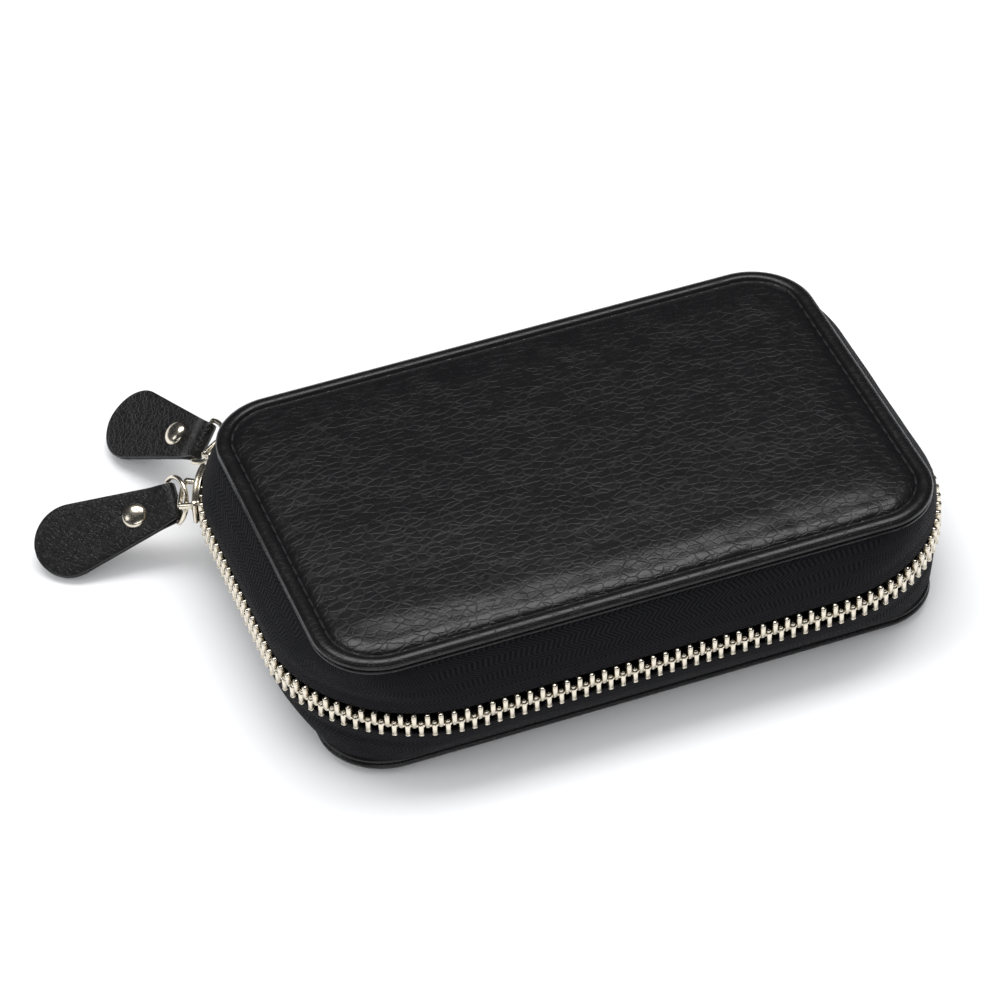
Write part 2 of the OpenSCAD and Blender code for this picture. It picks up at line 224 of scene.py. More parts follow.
def merge_in(bm: bmesh.types.BMesh, other: bmesh.types.BMesh) -> list[bmesh.types.BMVert]:
    """Moves all of another mesh into bm and returns its new vertices.

    Args:
        bm: The mesh to add to.
        other: The mesh to move, which is freed.

    Returns:
        The new vertices.
    """
    scratch = bpy.data.meshes.new("scratch")
    other.to_mesh(scratch)
    other.free()
    bm.verts.ensure_lookup_table()
    before = len(bm.verts)
    bm.from_mesh(scratch)
    bpy.data.meshes.remove(scratch)
    bm.verts.ensure_lookup_table()
    return bm.verts[before:]


def add_tube(
    bm: bmesh.types.BMesh, path: Callable[[float], Vector], radius: float, along: int, around: int = 14,
    closed: bool = False,
) -> None:
    """Adds a round tube along a path, with capped ends unless it is closed.

    Args:
        bm: The mesh to add to.
        path: Gives the centre for u from 0 to 1.
        radius: The tube's radius.
        along: Faces along the tube.
        around: Faces around it.
        closed: Whether the end joins the start.
    """
    step = 1e-3

    def shape(u: float, v: float) -> Vector:
        """Point on the tube's skin.

        Args:
            u: Part of the way along the path.
            v: Part of the way round the tube.

        Returns:
            The point, in millimetres.
        """
        low, high = (u - step, u + step) if closed else (max(u - step, 0), min(u + step, 1))
        ahead = (path(high % 1 if closed else high) - path(low % 1 if closed else low)).normalized()
        side = ahead.cross(Vector((0.31, 0.17, 0.93))).normalized()
        lift = side.cross(ahead)
        turn = 2 * math.pi * v
        return path(u % 1 if closed else u) + radius * (math.cos(turn) * side + math.sin(turn) * lift)

    verts = add_surface(bm, along, around, shape)
    if closed:
        bmesh.ops.remove_doubles(bm, verts=verts, dist=MERGE)
    else:
        close_up(bm, verts, MERGE)


def squared(v: float, across: float, up: float) -> tuple[float, float]:
    """Point of a squared circle, from −1 to 1 each way.

    Args:
        v: Part of the way round it.
        across: Power of the first value: the lower, the squarer.
        up: Power of the second value.

    Returns:
        The point's two values.
    """
    turn = 2 * math.pi * v
    c, s = math.cos(turn), math.sin(turn)
    return math.copysign(abs(c) ** across, c), math.copysign(abs(s) ** up, s)


def close_up(bm: bmesh.types.BMesh, verts: Iterable[bmesh.types.BMVert], reach: float) -> None:
    """Merges the vertices that meet, and caps the ends that stay open.

    Args:
        bm: The mesh that they are in.
        verts: The vertices to merge.
        reach: How far apart two of them may lie, in millimetres.
    """
    bmesh.ops.remove_doubles(bm, verts=list(verts), dist=reach)
    rims = [edge for edge in bm.edges if edge.is_boundary]
    bmesh.ops.holes_fill(bm, edges=rims, sides=0)


# ---------------------------------------------------------------- outlines


@dataclass(frozen=True)
class Outline:
    """A rectangle with rounded corners, walked from the left end of the back round the front and home.

    Attributes:
        half_l: Half length, along X.
        half_w: Half depth, along Y.
        r_front: Radius of the two front corners.
        r_back: Radius of the two back corners.
    """

    half_l: float
    half_w: float
    r_front: float
    r_back: float

    def shrunk(self, by: float) -> "Outline":
        """The same outline, moved inwards."""
        return Outline(self.half_l - by, self.half_w - by, self.r_front - by, self.r_back - by)

    def lengths(self) -> list[float]:
        """Length of each of the eight stretches: corners and sides in turn.

        Returns:
            The eight lengths, in millimetres.
        """
        back = self.r_back * math.pi / 2
        front = self.r_front * math.pi / 2
        side = 2 * self.half_w - self.r_front - self.r_back
        return [
            back, side, front, 2 * (self.half_l - self.r_front), front, side, back,
            2 * (self.half_l - self.r_back),
        ]

    def at(self, stretch: int, part: float) -> tuple[Vector, Vector]:
        """Point and outward normal a part of the way along a stretch.

        Args:
            stretch: Number of the stretch, from 0 to 7.
            part: Part of the way along it.

        Returns:
            The point and its outward normal.
        """
        if stretch > 3 and stretch != 7:
            point, normal = self.at(6 - stretch, 1 - part)
            return Vector((-point.x, point.y, 0)), Vector((-normal.x, normal.y, 0))
        x_back, y_back = self.half_l - self.r_back, self.half_w - self.r_back
        x_front, y_front = self.half_l - self.r_front, self.half_w - self.r_front
        if stretch == 0:
            turn = math.pi / 2 * (1 - part)
            normal = Vector((-math.cos(turn), math.sin(turn), 0))
            return Vector((-x_back, y_back, 0)) + self.r_back * normal, normal
        if stretch == 1:
            return Vector((-self.half_l, y_back + (-y_front - y_back) * part, 0)), Vector((-1, 0, 0))
        if stretch == 2:
            turn = math.pi / 2 * part
            normal = Vector((-math.cos(turn), -math.sin(turn), 0))
            return Vector((-x_front, -y_front, 0)) + self.r_front * normal, normal
        if stretch == 3:
            return Vector((-x_front + 2 * x_front * part, -self.half_w, 0)), Vector((0, -1, 0))
        return Vector((x_back - 2 * x_back * part, self.half_w, 0)), Vector((0, 1, 0))

    def walk(self, distance: float) -> tuple[int, float]:
        """The stretch that lies at a distance from the start, and the part of the way along it.

        Args:
            distance: Distance from the start, in millimetres.

        Returns:
            The number of the stretch and the part of the way along it.
        """
        lengths = self.lengths()
        for stretch, length in enumerate(lengths):
            if distance <= length or stretch == 7:
                return stretch, min(max(distance / length, 0), 1)
            distance -= length
        return 7, 1.0

    def inset(self, x: float, y: float) -> float:
        """How far inside the outline a point lies.

        Args:
            x: Place along X.
            y: Place along Y.

        Returns:
            The distance to the outline, below 0 outside it.
        """
        r = self.r_front if y < 0 else self.r_back
        dx, dy = abs(x) - (self.half_l - r), abs(y) - (self.half_w - r)
        if dx > 0 and dy > 0:
            return r - math.hypot(dx, dy)
        return r - max(dx, dy)


# ---------------------------------------------------------------- finishes


class Nodes:
    """A short way to write shader nodes in one tree."""

    def __init__(self, tree: bpy.types.NodeTree) -> None:
        """Keeps the tree.

        Args:
            tree: The node tree to add to.
        """
        self.tree = tree

    def add(self, kind: str, inputs: dict | None = None, **settings: object) -> bpy.types.Node:
        """Adds a node, sets its properties, and sets or links its inputs.

        Args:
            kind: The node's type.
            inputs: Socket name or number, to a value or to another node's output.
            settings: Properties of the node.

        Returns:
            The node.
        """
        node = self.tree.nodes.new(kind)
        for name, value in settings.items():
            setattr(node, name, value)
        for name, value in (inputs or {}).items():
            if isinstance(value, bpy.types.NodeSocket):
                self.tree.links.new(value, node.inputs[name])
            else:
                node.inputs[name].default_value = value
        return node

    def math(self, operation: str, a: object, b: object = 0.0, c: object = 0.0) -> bpy.types.NodeSocket:
        """Output of a Math node."""
        return self.add("ShaderNodeMath", {0: a, 1: b, 2: c}, operation=operation).outputs[0]

    def span(self, value: object, low: float, high: float, to_low: float = 0, to_high: float = 1) -> object:
        """Output of a smooth Map Range node."""
        names = {"Value": value, "From Min": low, "From Max": high, "To Min": to_low, "To Max": to_high}
        return self.add("ShaderNodeMapRange", names, interpolation_type="SMOOTHSTEP").outputs["Result"]

    def blend(self, factor: object, a: object, b: object) -> bpy.types.NodeSocket:
        """Colour output of a Mix node.

        Args:
            factor: Share of b: a number or an output.
            a: First colour, or an output.
            b: Second colour, or an output.

        Returns:
            The node's colour output.
        """
        node = self.add("ShaderNodeMix", data_type="RGBA")
        for number, value in ((0, factor), (6, a), (7, b)):
            if isinstance(value, bpy.types.NodeSocket):
                self.tree.links.new(value, node.inputs[number])
            else:
                node.inputs[number].default_value = value
        return node.outputs[2]


def new_group(name: str, inputs: dict[str, tuple[str, object]], outputs: dict[str, str]) -> tuple:
    """Starts a shader node group.

    Args:
        name: The group's name.
        inputs: Socket name to its kind and default value.
        outputs: Socket name to its kind.

    Returns:
        The group, its nodes, its input node and its output node.
    """
    group = bpy.data.node_groups.new(name, "ShaderNodeTree")
    for title, (kind, value) in inputs.items():
        socket = group.interface.new_socket(title, in_out="INPUT", socket_type=kind)
        if value is not None:
            socket.default_value = value
    for title, kind in outputs.items():
        group.interface.new_socket(title, in_out="OUTPUT", socket_type=kind)
    nodes = Nodes(group)
    return group, nodes, nodes.add("NodeGroupInput"), nodes.add("NodeGroupOutput")


NUMBER, VECTOR = "NodeSocketFloat", "NodeSocketVector"


def make_grain_group() -> bpy.types.NodeTree:
    """Leather grain: pebbles parted by fine creases, which run longer one way.

    Returns:
        The group.
    """
    group, n, enter, leave = new_group(
        "leather_grain",
        {"Vector": (VECTOR, None), "Pebble": (NUMBER, 1.0), "Stretch": (NUMBER, 2.0), "Depth": (NUMBER, 1.0)},
        {"Height": NUMBER, "Crease": NUMBER, "Mottle": NUMBER},
    )
    wander = n.add("ShaderNodeTexNoise", {"Vector": enter.outputs["Vector"], "Scale": 0.35, "Detail": 3.0})
    shift = n.add("ShaderNodeVectorMath", {0: wander.outputs["Color"], 1: (0.5, 0.5, 0.5)}, operation="SUBTRACT")
    bent = n.add(
        "ShaderNodeVectorMath", {0: shift.outputs[0], 1: (1.5, 1.5, 1.5), 2: enter.outputs["Vector"]},
        operation="MULTIPLY_ADD",
    )
    parts = n.add("ShaderNodeSeparateXYZ", {0: bent.outputs[0]})
    drawn = n.add(
        "ShaderNodeCombineXYZ",
        {0: n.math("DIVIDE", parts.outputs[0], enter.outputs["Stretch"]), 1: parts.outputs[1], 2: parts.outputs[2]},
    )
    scale = n.math("DIVIDE", 1.0, enter.outputs["Pebble"])
    large = n.add(
        "ShaderNodeTexVoronoi", {"Vector": drawn.outputs[0], "Scale": scale}, feature="DISTANCE_TO_EDGE"
    )
    small = n.add(
        "ShaderNodeTexVoronoi", {"Vector": bent.outputs[0], "Scale": n.math("MULTIPLY", scale, 2.3)},
        feature="DISTANCE_TO_EDGE",
    )
    patchy = n.add("ShaderNodeTexNoise", {"Vector": enter.outputs["Vector"], "Scale": 0.22, "Detail": 4.0})
    open_large = n.span(large.outputs["Distance"], 0.0, 0.11)
    open_small = n.span(small.outputs["Distance"], 0.0, 0.16)
    patch = n.span(patchy.outputs["Fac"], 0.36, 0.62)
    pores = n.add("ShaderNodeTexNoise", {"Vector": enter.outputs["Vector"], "Scale": 5.0, "Detail": 2.0})
    depth = n.math("MULTIPLY", open_large, n.math("MULTIPLY_ADD", patch, 0.45, 0.55))
    depth = n.math("MULTIPLY_ADD", open_small, 0.2, depth)
    depth = n.math("MULTIPLY_ADD", pores.outputs["Fac"], 0.07, depth)
    n.tree.links.new(n.math("MULTIPLY", depth, enter.outputs["Depth"]), leave.inputs["Height"])
    # Crease marks the creases of the grain, which the leather colours darker as painted shade and makes rougher.
    crease = n.math("SUBTRACT", 1.0, open_large)
    n.tree.links.new(n.math("MULTIPLY", crease, patch), leave.inputs["Crease"])
    n.tree.links.new(patchy.outputs["Fac"], leave.inputs["Mottle"])
    return group


def make_weave_group() -> bpy.types.NodeTree:
    """Herringbone twill on the UV map: bands of slanting ribs that change hands from band to band.

    Returns:
        The group.
    """
    group, n, enter, leave = new_group(
        "herringbone",
        {"UV": (VECTOR, None), "Band": (NUMBER, 2.4), "Rib": (NUMBER, 0.5), "Yarn": (NUMBER, 0.42)},
        {"Height": NUMBER, "Shade": NUMBER, "Across": NUMBER},
    )
    place = n.add("ShaderNodeSeparateXYZ", {0: enter.outputs["UV"]})
    zigzag = n.math("PINGPONG", place.outputs[1], enter.outputs["Band"])
    phase = n.math("DIVIDE", n.math("ADD", place.outputs[0], zigzag), enter.outputs["Rib"])
    rib = n.math("SINE", n.math("MULTIPLY", phase, 2 * math.pi))
    yarns = [n.math("DIVIDE", place.outputs[axis], enter.outputs["Yarn"]) for axis in (0, 1)]
    yarn_along, yarn_across = (n.math("SINE", n.math("MULTIPLY", yarn, 2 * math.pi)) for yarn in yarns)
    fuzz = n.add("ShaderNodeTexNoise", {"Vector": enter.outputs["UV"], "Scale": 3.0, "Detail": 3.0})
    height = n.math("MULTIPLY_ADD", n.math("MULTIPLY", yarn_along, yarn_across), 0.35, n.math("MULTIPLY", rib, 0.5))
    height = n.math("MULTIPLY_ADD", fuzz.outputs["Fac"], 0.7, height)
    n.tree.links.new(height, leave.inputs["Height"])
    # Shade runs from dark to light across each rib, as the rib's height does: painted shade and highlight on the
    # ribs.
    n.tree.links.new(n.span(rib, -1.0, 1.0), leave.inputs["Shade"])
    n.tree.links.new(place.outputs[1], leave.inputs["Across"])
    return group


def make_wear_group() -> bpy.types.NodeTree:
    """Fine scuffs and smears, for metal.

    Returns:
        The group.
    """
    group, n, enter, leave = new_group(
        "wear", {"Vector": (VECTOR, None), "Scale": (NUMBER, 1.0)}, {"Smear": NUMBER, "Scratch": NUMBER}
    )
    where, scale = enter.outputs["Vector"], enter.outputs["Scale"]
    smear = n.add("ShaderNodeTexNoise", {"Vector": where, "Scale": scale, "Detail": 5.0})
    long_way = n.add("ShaderNodeMapping", {"Vector": where, "Scale": (0.6, 9.0, 5.0), "Rotation": (0.4, 0.2, 0.7)})
    scratch = n.add("ShaderNodeTexNoise", {"Vector": long_way.outputs[0], "Scale": scale, "Detail": 6.0})
    n.tree.links.new(smear.outputs["Fac"], leave.inputs["Smear"])
    n.tree.links.new(n.span(scratch.outputs["Fac"], 0.56, 0.7), leave.inputs["Scratch"])
    return group


class Groups:
    """The shared shader node groups, built once."""

    grain = make_grain_group()
    weave = make_weave_group()
    wear = make_wear_group()


@dataclass(frozen=True)
class Finish:
    """What every finish shares: a name and the way to start and end its material."""

    name: str

    def start(self) -> tuple[bpy.types.Material, Nodes, bpy.types.Node, bpy.types.Node]:
        """Starts a material and returns it, its nodes, its shader and its coordinates.

        Returns:
            The material, its nodes, its shader and its coordinates.
        """
        material = bpy.data.materials.new(self.name)
        material.use_nodes = True
        nodes = Nodes(material.node_tree)
        coords = nodes.add("ShaderNodeTexCoord")
        return material, nodes, material.node_tree.nodes["Principled BSDF"], coords

    def in_mm(self, nodes: Nodes, coords: bpy.types.Node) -> bpy.types.NodeSocket:
        """Object coordinates in millimetres."""
        inputs = {"Vector": coords.outputs["Object"], "Scale": (1 / MM, 1 / MM, 1 / MM)}
        return nodes.add("ShaderNodeMapping", inputs).outputs[0]

    def bump(self, nodes: Nodes, shader: bpy.types.Node, height: object, strength: float, depth: float) -> None:
        """Bumps the shader by a height, where depth is in millimetres."""
        node = nodes.add("ShaderNodeBump", {"Height": height, "Strength": strength, "Distance": depth * MM})
        nodes.tree.links.new(node.outputs[0], shader.inputs["Normal"])


@dataclass(frozen=True)
class Leather(Finish):
    """Black leather with pebbled grain.

    Attributes:
        pebble: Size of the pebbles, in millimetres.
        stretch: How much longer they are along X.
        depth: Height of the grain, in millimetres.
        tone: Colour of the tops of the pebbles.
        rough: Roughness of the tops.
        gloss: Coat weight.
    """

    pebble: float = 1.0
    stretch: float = 2.0
    depth: float = 0.3
    tone: tuple[float, float, float] = (0.0052, 0.005, 0.0054)
    rough: float = 0.36
    gloss: float = 0.06

    def make(self) -> bpy.types.Material:
        """Builds the material.

        Returns:
            The material.
        """
        material, n, shader, coords = self.start()
        grain = n.add("ShaderNodeGroup", node_tree=Groups.grain)
        n.tree.links.new(self.in_mm(n, coords), grain.inputs["Vector"])
        flat = n.add("ShaderNodeAttribute", attribute_name="flat")
        n.tree.links.new(n.span(flat.outputs["Fac"], 0.0, 1.0, 1.0, 0.3), grain.inputs["Depth"])
        grain.inputs["Pebble"].default_value = self.pebble
        grain.inputs["Stretch"].default_value = self.stretch
        # The dark colour fills the creases of the grain: painted shade in the creases.
        dark = (*(c * 0.35 for c in self.tone), 1)
        worn = (*(c * 1.5 for c in self.tone), 1)
        top = n.blend(n.span(grain.outputs["Mottle"], 0.3, 0.75), (*self.tone, 1), worn)
        n.tree.links.new(n.blend(grain.outputs["Crease"], top, dark), shader.inputs["Base Color"])
        rough = n.math("MULTIPLY_ADD", grain.outputs["Crease"], 0.25, self.rough)
        rough = n.math("MULTIPLY_ADD", grain.outputs["Mottle"], -0.1, rough)
        n.tree.links.new(rough, shader.inputs["Roughness"])
        shader.inputs["Specular IOR Level"].default_value = 0.4
        shader.inputs["Coat Weight"].default_value = self.gloss
        shader.inputs["Coat Roughness"].default_value = 0.3
        self.bump(n, shader, grain.outputs["Height"], 1.0, self.depth)
        return material


@dataclass(frozen=True)
class Woven(Finish):
    """Cloth with a herringbone twill on its UV map.

    Attributes:
        tone: Colour of the ribs.
        band: Width of a band, in millimetres.
        rib: Distance from one rib to the next.
        yarn: Distance from one yarn to the next.
        depth: Height of the weave, in millimetres.
        smooth_to: Distance across the cloth from which it lies smoother, as a zip's own tape does.
    """

    tone: tuple[float, float, float] = (0.0042, 0.0042, 0.0058)
    band: float = 2.4
    rib: float = 0.9
    yarn: float = 0.6
    depth: float = 0.2
    smooth_to: float = 99.0

    def make(self) -> bpy.types.Material:
        """Builds the material.

        Returns:
            The material.
        """
        material, n, shader, coords = self.start()
        weave = n.add("ShaderNodeGroup", node_tree=Groups.weave)
        n.tree.links.new(coords.outputs["UV"], weave.inputs["UV"])
        for name, value in (("Band", self.band), ("Rib", self.rib), ("Yarn", self.yarn)):
            weave.inputs[name].default_value = value
        flat = n.span(weave.outputs["Across"], self.smooth_to - 0.5, self.smooth_to + 0.5, 1.0, 0.4)
        # The ribs are coloured from dark to light by Shade: painted shade and highlight on the ribs.
        dark = (*(c * 0.4 for c in self.tone), 1)
        light = (*(c * 1.6 for c in self.tone), 1)
        n.tree.links.new(n.blend(weave.outputs["Shade"], dark, light), shader.inputs["Base Color"])
        n.tree.links.new(n.math("MULTIPLY_ADD", weave.outputs["Shade"], -0.15, 0.85), shader.inputs["Roughness"])
        shader.inputs["Specular IOR Level"].default_value = 0.16
        shader.inputs["Sheen Weight"].default_value = 0.02
        shader.inputs["Sheen Roughness"].default_value = 0.5
        self.bump(n, shader, n.math("MULTIPLY", weave.outputs["Height"], flat), 1.0, self.depth)
        return material


@dataclass(frozen=True)
class Metal(Finish):
    """Pale nickel with smears and fine scratches.

    Attributes:
        tone: Colour of the metal.
        rough: Roughness where it is clean.
    """

    tone: tuple[float, float, float] = (0.87, 0.80, 0.67)
    rough: float = 0.16

    def make(self) -> bpy.types.Material:
        """Builds the material.

        Returns:
            The material.
        """
        material, n, shader, coords = self.start()
        wear = n.add("ShaderNodeGroup", node_tree=Groups.wear)
        n.tree.links.new(self.in_mm(n, coords), wear.inputs["Vector"])
        dull = (*(c * 0.82 for c in self.tone), 1)
        n.tree.links.new(n.blend(wear.outputs["Smear"], (*self.tone, 1), dull), shader.inputs["Base Color"])
        shader.inputs["Metallic"].default_value = 1.0
        rough = n.math("MULTIPLY_ADD", wear.outputs["Smear"], 0.12, self.rough)
        rough = n.math("MULTIPLY_ADD", wear.outputs["Scratch"], 0.15, rough)
        n.tree.links.new(rough, shader.inputs["Roughness"])
        self.bump(n, shader, wear.outputs["Smear"], 0.5, 0.03)
        return material


@dataclass(frozen=True)
class Thread(Finish):
    """Waxed black thread, with its twist across it."""

    tone: tuple[float, float, float] = (0.008, 0.008, 0.009)

    def make(self) -> bpy.types.Material:
        """Builds the material.

        Returns:
            The material.
        """
        material, n, shader, coords = self.start()
        turned = n.add("ShaderNodeMapping", {"Vector": self.in_mm(n, coords), "Rotation": (0, 0, 0.7)})
        twist = n.add("ShaderNodeTexWave", {"Vector": turned.outputs[0], "Scale": 1.1, "Distortion": 0.6})
        # Lighter where the twist stands up: painted highlight on the plies of the thread.
        light = (*(c * 2.4 for c in self.tone), 1)
        n.tree.links.new(n.blend(twist.outputs["Fac"], (*self.tone, 1), light), shader.inputs["Base Color"])
        n.tree.links.new(n.span(twist.outputs["Fac"], 0, 1, 0.6, 0.42), shader.inputs["Roughness"])
        self.bump(n, shader, twist.outputs["Fac"], 0.8, 0.08)
        return material


@dataclass(frozen=True)
class Board(Finish):
    """Grey-brown board or foam: flecks on a plain ground."""

    tone: tuple[float, float, float] = (0.3, 0.24, 0.17)

    def make(self) -> bpy.types.Material:
        """Builds the material.

        Returns:
            The material.
        """
        material, n, shader, coords = self.start()
        flecks = n.add("ShaderNodeTexNoise", {"Vector": self.in_mm(n, coords), "Scale": 2.2, "Detail": 5.0})
        dark = (*(c * 0.55 for c in self.tone), 1)
        spots = n.blend(n.span(flecks.outputs["Fac"], 0.35, 0.65), dark, (*self.tone, 1))
        n.tree.links.new(spots, shader.inputs["Base Color"])
        n.tree.links.new(n.span(flecks.outputs["Fac"], 0.3, 0.7, 0.95, 0.8), shader.inputs["Roughness"])
        self.bump(n, shader, flecks.outputs["Fac"], 0.6, 0.15)
        return material


# ---------------------------------------------------------------- the zip


@dataclass(frozen=True)
class Case:
    """Sizes that the pieces share, in millimetres."""

    panel: Outline = Outline(81.0, 53.0, 17.0, 17.0)
    zip_line: Outline = Outline(87.5, 59.5, 40.0, 32.0)
    height: float = 39.0
    zip_z: float = 19.5
    zip_end: float = 86.0
    half_h: float = 17.9

    def zip_start(self) -> float:
        """Distance along the zip's outline at which the zip begins, beside the spine."""
        return math.radians(90 - self.zip_end) * self.zip_line.r_back

    def zip_length(self) -> float:
        """Length of the zip, from one side of the spine round the front to the other."""
        return sum(self.zip_line.lengths()[:7]) - 2 * self.zip_start()

    def zip_place(self, distance: float, out: float = 0.0) -> tuple[Vector, Vector]:
        """Point and outward normal on the zip's outline, at a distance from its left end.

        Args:
            distance: Distance from the left end of the zip.
            out: Distance outwards from its line.

        Returns:
            The point and the outward normal.
        """
        stretch, part = self.zip_line.walk(self.zip_start() + distance)
        point, normal = self.zip_line.at(stretch, part)
        return point + out * normal, normal

    def corner(self, angle: float, out: float = 0.0, up: float = 0.0) -> Vector:
        """Point by the arc of the left back corner, where angle is in degrees from straight left.

        Args:
            angle: Angle from straight left, in degrees.
            out: Distance outwards from the zip's line.
            up: Height above the zip's plane.

        Returns:
            The point, in millimetres.
        """
        turn = math.radians(angle)
        reach = self.zip_line.r_back + out
        return Vector((-55.5 - reach * math.cos(turn), 27.5 + reach * math.sin(turn), self.zip_z + up))


CASE = Case()


@dataclass(frozen=True)
class Tape:
    """One half of the zip's tape: a slope down from the rim, then a straight edge by the teeth.

    Attributes:
        side: Which half it is on.
        edge_end: Height of the bend above the teeth's line, in millimetres.
        teeth_edge: Height of its edge above that line.
        thick: Its thickness.
        bulge: How far the slope swells.
    """

    side: Side
    edge_end: float = 6.65
    teeth_edge: float = 3.35
    thick: float = 0.9
    bulge: float = 0.55

    def skin(self, distance_part: float, v: float, inward: float) -> Vector:
        """Point on the tape: v runs from the rim at 0 to the edge at 1.

        Args:
            distance_part: Part of the way along the zip.
            v: Part of the way down the tape.
            inward: Distance in from its outer face.

        Returns:
            The point, in millimetres.
        """
        distance = CASE.zip_length() * distance_part
        stretch, part = CASE.zip_line.walk(CASE.zip_start() + distance)
        low_point, low_normal = CASE.zip_line.at(stretch, part)
        high_point, high_normal = CASE.panel.at(stretch, part)
        high_point = high_point - 1.0 * high_normal
        bend = 0.72
        rim_up, edge_up = 15.75, self.edge_end
        puff = 0.35 * ripple(distance * 0.09, 3.0 * v, 4.0 + self.side.value)
        if v < bend:
            t = v / bend
            swell = self.bulge * math.sin(math.pi * t) + puff * t * (1 - t) * 4
            point = high_point.lerp(low_point, t) + swell * low_normal
            up = rim_up + (edge_up - rim_up) * t
        else:
            t = (v - bend) / (1 - bend)
            point = low_point.copy()
            up = edge_up + (self.teeth_edge - edge_up) * t
        soft = smoothstep(bend - 0.14, bend, v) * (1 - smoothstep(bend, bend + 0.14, v))
        point = point - (0.25 * soft) * low_normal
        point = point - inward * low_normal
        return Vector((point.x, point.y, CASE.zip_z + self.side.value * up))

    def build(self, name: str, material: bpy.types.Material) -> bpy.types.Object:
        """Builds the half's tape as one closed strip.

        Args:
            name: The piece's name.
            material: Its finish.

        Returns:
            The piece.
        """
        bm = bmesh.new()
        length = CASE.zip_length()
        along, across = 330, 22

        def around(u: float, v: float) -> Vector:
            """Down the outside, round the edge and back up the inside.

            Args:
                u: Part of the way along the zip.
                v: Part of the way round the tape's section.

            Returns:
                The point, in millimetres.
            """
            if v <= 0.46:
                return self.skin(u, v / 0.46, 0.0)
            if v >= 0.54:
                return self.skin(u, (1 - v) / 0.46, self.thick)
            return self.skin(u, 1.0, self.thick * (v - 0.46) / 0.08)

        add_surface(bm, along, 2 * across + 4, around, (length, 2 * 17.5 / 0.92))
        close_up(bm, bm.verts, 0.002)
        return finish_piece(bm, name, material)


@dataclass(frozen=True)
class Teeth:
    """The rows of metal teeth, each clamped over the tape's edge.

    Attributes:
        pitch: Distance from one tooth to the next in a row.
        width: Width of a tooth's leg.
        head: Width of the foot that meets the other row.
        thick: Thickness of a tooth, through the tape.
        gap: The stretch of the left back corner that the two sliders hold open, in degrees.
    """

    pitch: float = 3.2
    width: float = 1.22
    head: float = 1.62
    thick: float = 2.4
    gap: tuple[float, float] = (33.5, 52.5)

    def places(self, side: Side) -> Iterable[tuple[Vector, Vector]]:
        """Point and normal of each tooth of a row.

        Args:
            side: Which row.

        Returns:
            Pairs of a point and a normal.
        """
        length = CASE.zip_length()
        count = int(length / self.pitch)
        for number in range(1, count - 1):
            distance = (number + (0.5 if side is Side.TOP else 0.0)) * self.pitch
            angle = CASE.zip_end - math.degrees(distance / CASE.zip_line.r_back)
            if angle < self.gap[0] or angle > self.gap[1]:
                yield CASE.zip_place(distance)

    def tooth(self, side: Side) -> bmesh.types.BMesh:
        """One tooth: a bar clamped over the tape, with a nib at its outer end and a foot that leans to one side.

        Args:
            side: Which row it is for.

        Returns:
            The tooth's mesh, at the origin.
        """
        bm = bmesh.new()
        outer = 3.35
        bar = outer - 0.45 + 0.35
        add_block(bm, (self.width, self.thick, bar), Matrix.Translation((0, 0, outer - 0.45 - bar / 2)), 0.22, 1)
        cap = Matrix.Translation((0, 0, outer - 0.4))
        add_block(bm, (self.width * 1.04, self.thick * 1.05, 0.8), cap, 0.26, 1)
        lean = -0.2 if side is Side.TOP else 0.2
        foot = Matrix.Translation((lean, 0, 0.02))
        add_block(bm, (self.head, self.thick * 0.9, 1.05), foot, 0.26, 1)
        nib = Matrix.Translation((0, 0, -0.3))
        add_block(bm, (self.width * 0.95, self.thick * 0.72, 1.5), nib, 0.3, 1)
        if side is Side.BOTTOM:
            bmesh.ops.transform(bm, matrix=Matrix.Rotation(math.pi, 4, "Y"), verts=bm.verts)
        return bm

    def build(self, side: Side, material: bpy.types.Material) -> bpy.types.Object:
        """Builds one row as one piece.

        Args:
            side: Which row.
            material: Its finish.

        Returns:
            The piece.
        """
        bm = bmesh.new()
        for point, normal in self.places(side):
            other = self.tooth(side)
            turn = Matrix.Rotation(math.atan2(-normal.x, normal.y), 4, "Z")
            spot = Matrix.Translation((point.x, point.y, CASE.zip_z))
            bmesh.ops.transform(other, matrix=spot @ turn, verts=other.verts)
            merge_in(bm, other)
        return finish_piece(bm, f"{side.zip}_tooth_row", material)


@dataclass(frozen=True)
class EndStops:
    """The stops at the two ends of a row."""

    def build(self, side: Side, material: bpy.types.Material) -> bpy.types.Object:
        """Builds the two stops of one row.

        Args:
            side: Which row.
            material: Its finish.

        Returns:
            The piece.
        """
        bm = bmesh.new()
        for distance in (0.4, CASE.zip_length() - 0.4):
            point, normal = CASE.zip_place(distance)
            turn = Matrix.Rotation(math.atan2(-normal.x, normal.y), 4, "Z")
            up = CASE.zip_z + side.value * 2.2
            place = Matrix.Translation((point.x, point.y, up)) @ turn
            add_block(bm, (2.3, 2.5, 2.3), place, 0.45, 3)
            for ridge in (-0.45, 0.45):
                add_block(bm, (0.5, 2.75, 1.9), place @ Matrix.Translation((ridge, 0, 0)), 0.15, 2)
        return finish_piece(bm, f"{side.zip}_stops", material)


@dataclass
class Zip:
    """The zip: two tapes, two rows of teeth and the stops.

    Attributes:
        tape: The tape's finish.
        metal: The teeth's finish.
    """

    tape: bpy.types.Material
    metal: bpy.types.Material

    def build(self) -> None:
        """Builds every piece of the zip."""
        for side in Side:
            cloth = Tape(side).build(f"{side.zip}_tape_cloth", self.tape)
            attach(cloth, side.body)
            old = ["lower_tape"] if side is Side.BOTTOM else ["upper_tape", "upper_tape_back_left"]
            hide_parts(*old)
            row = Teeth().build(side, self.metal)
            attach(row, side.body)
            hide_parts(f"{side.zip}_teeth", f"{side.zip}_teeth_back")
            stops = EndStops().build(side, self.metal)
            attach(stops, side.body)
            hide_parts(f"{side.zip}_end_stops")
            log.info("%s zip half: tape, teeth and stops", side.zip)


# ---------------------------------------------------------------- the two panels


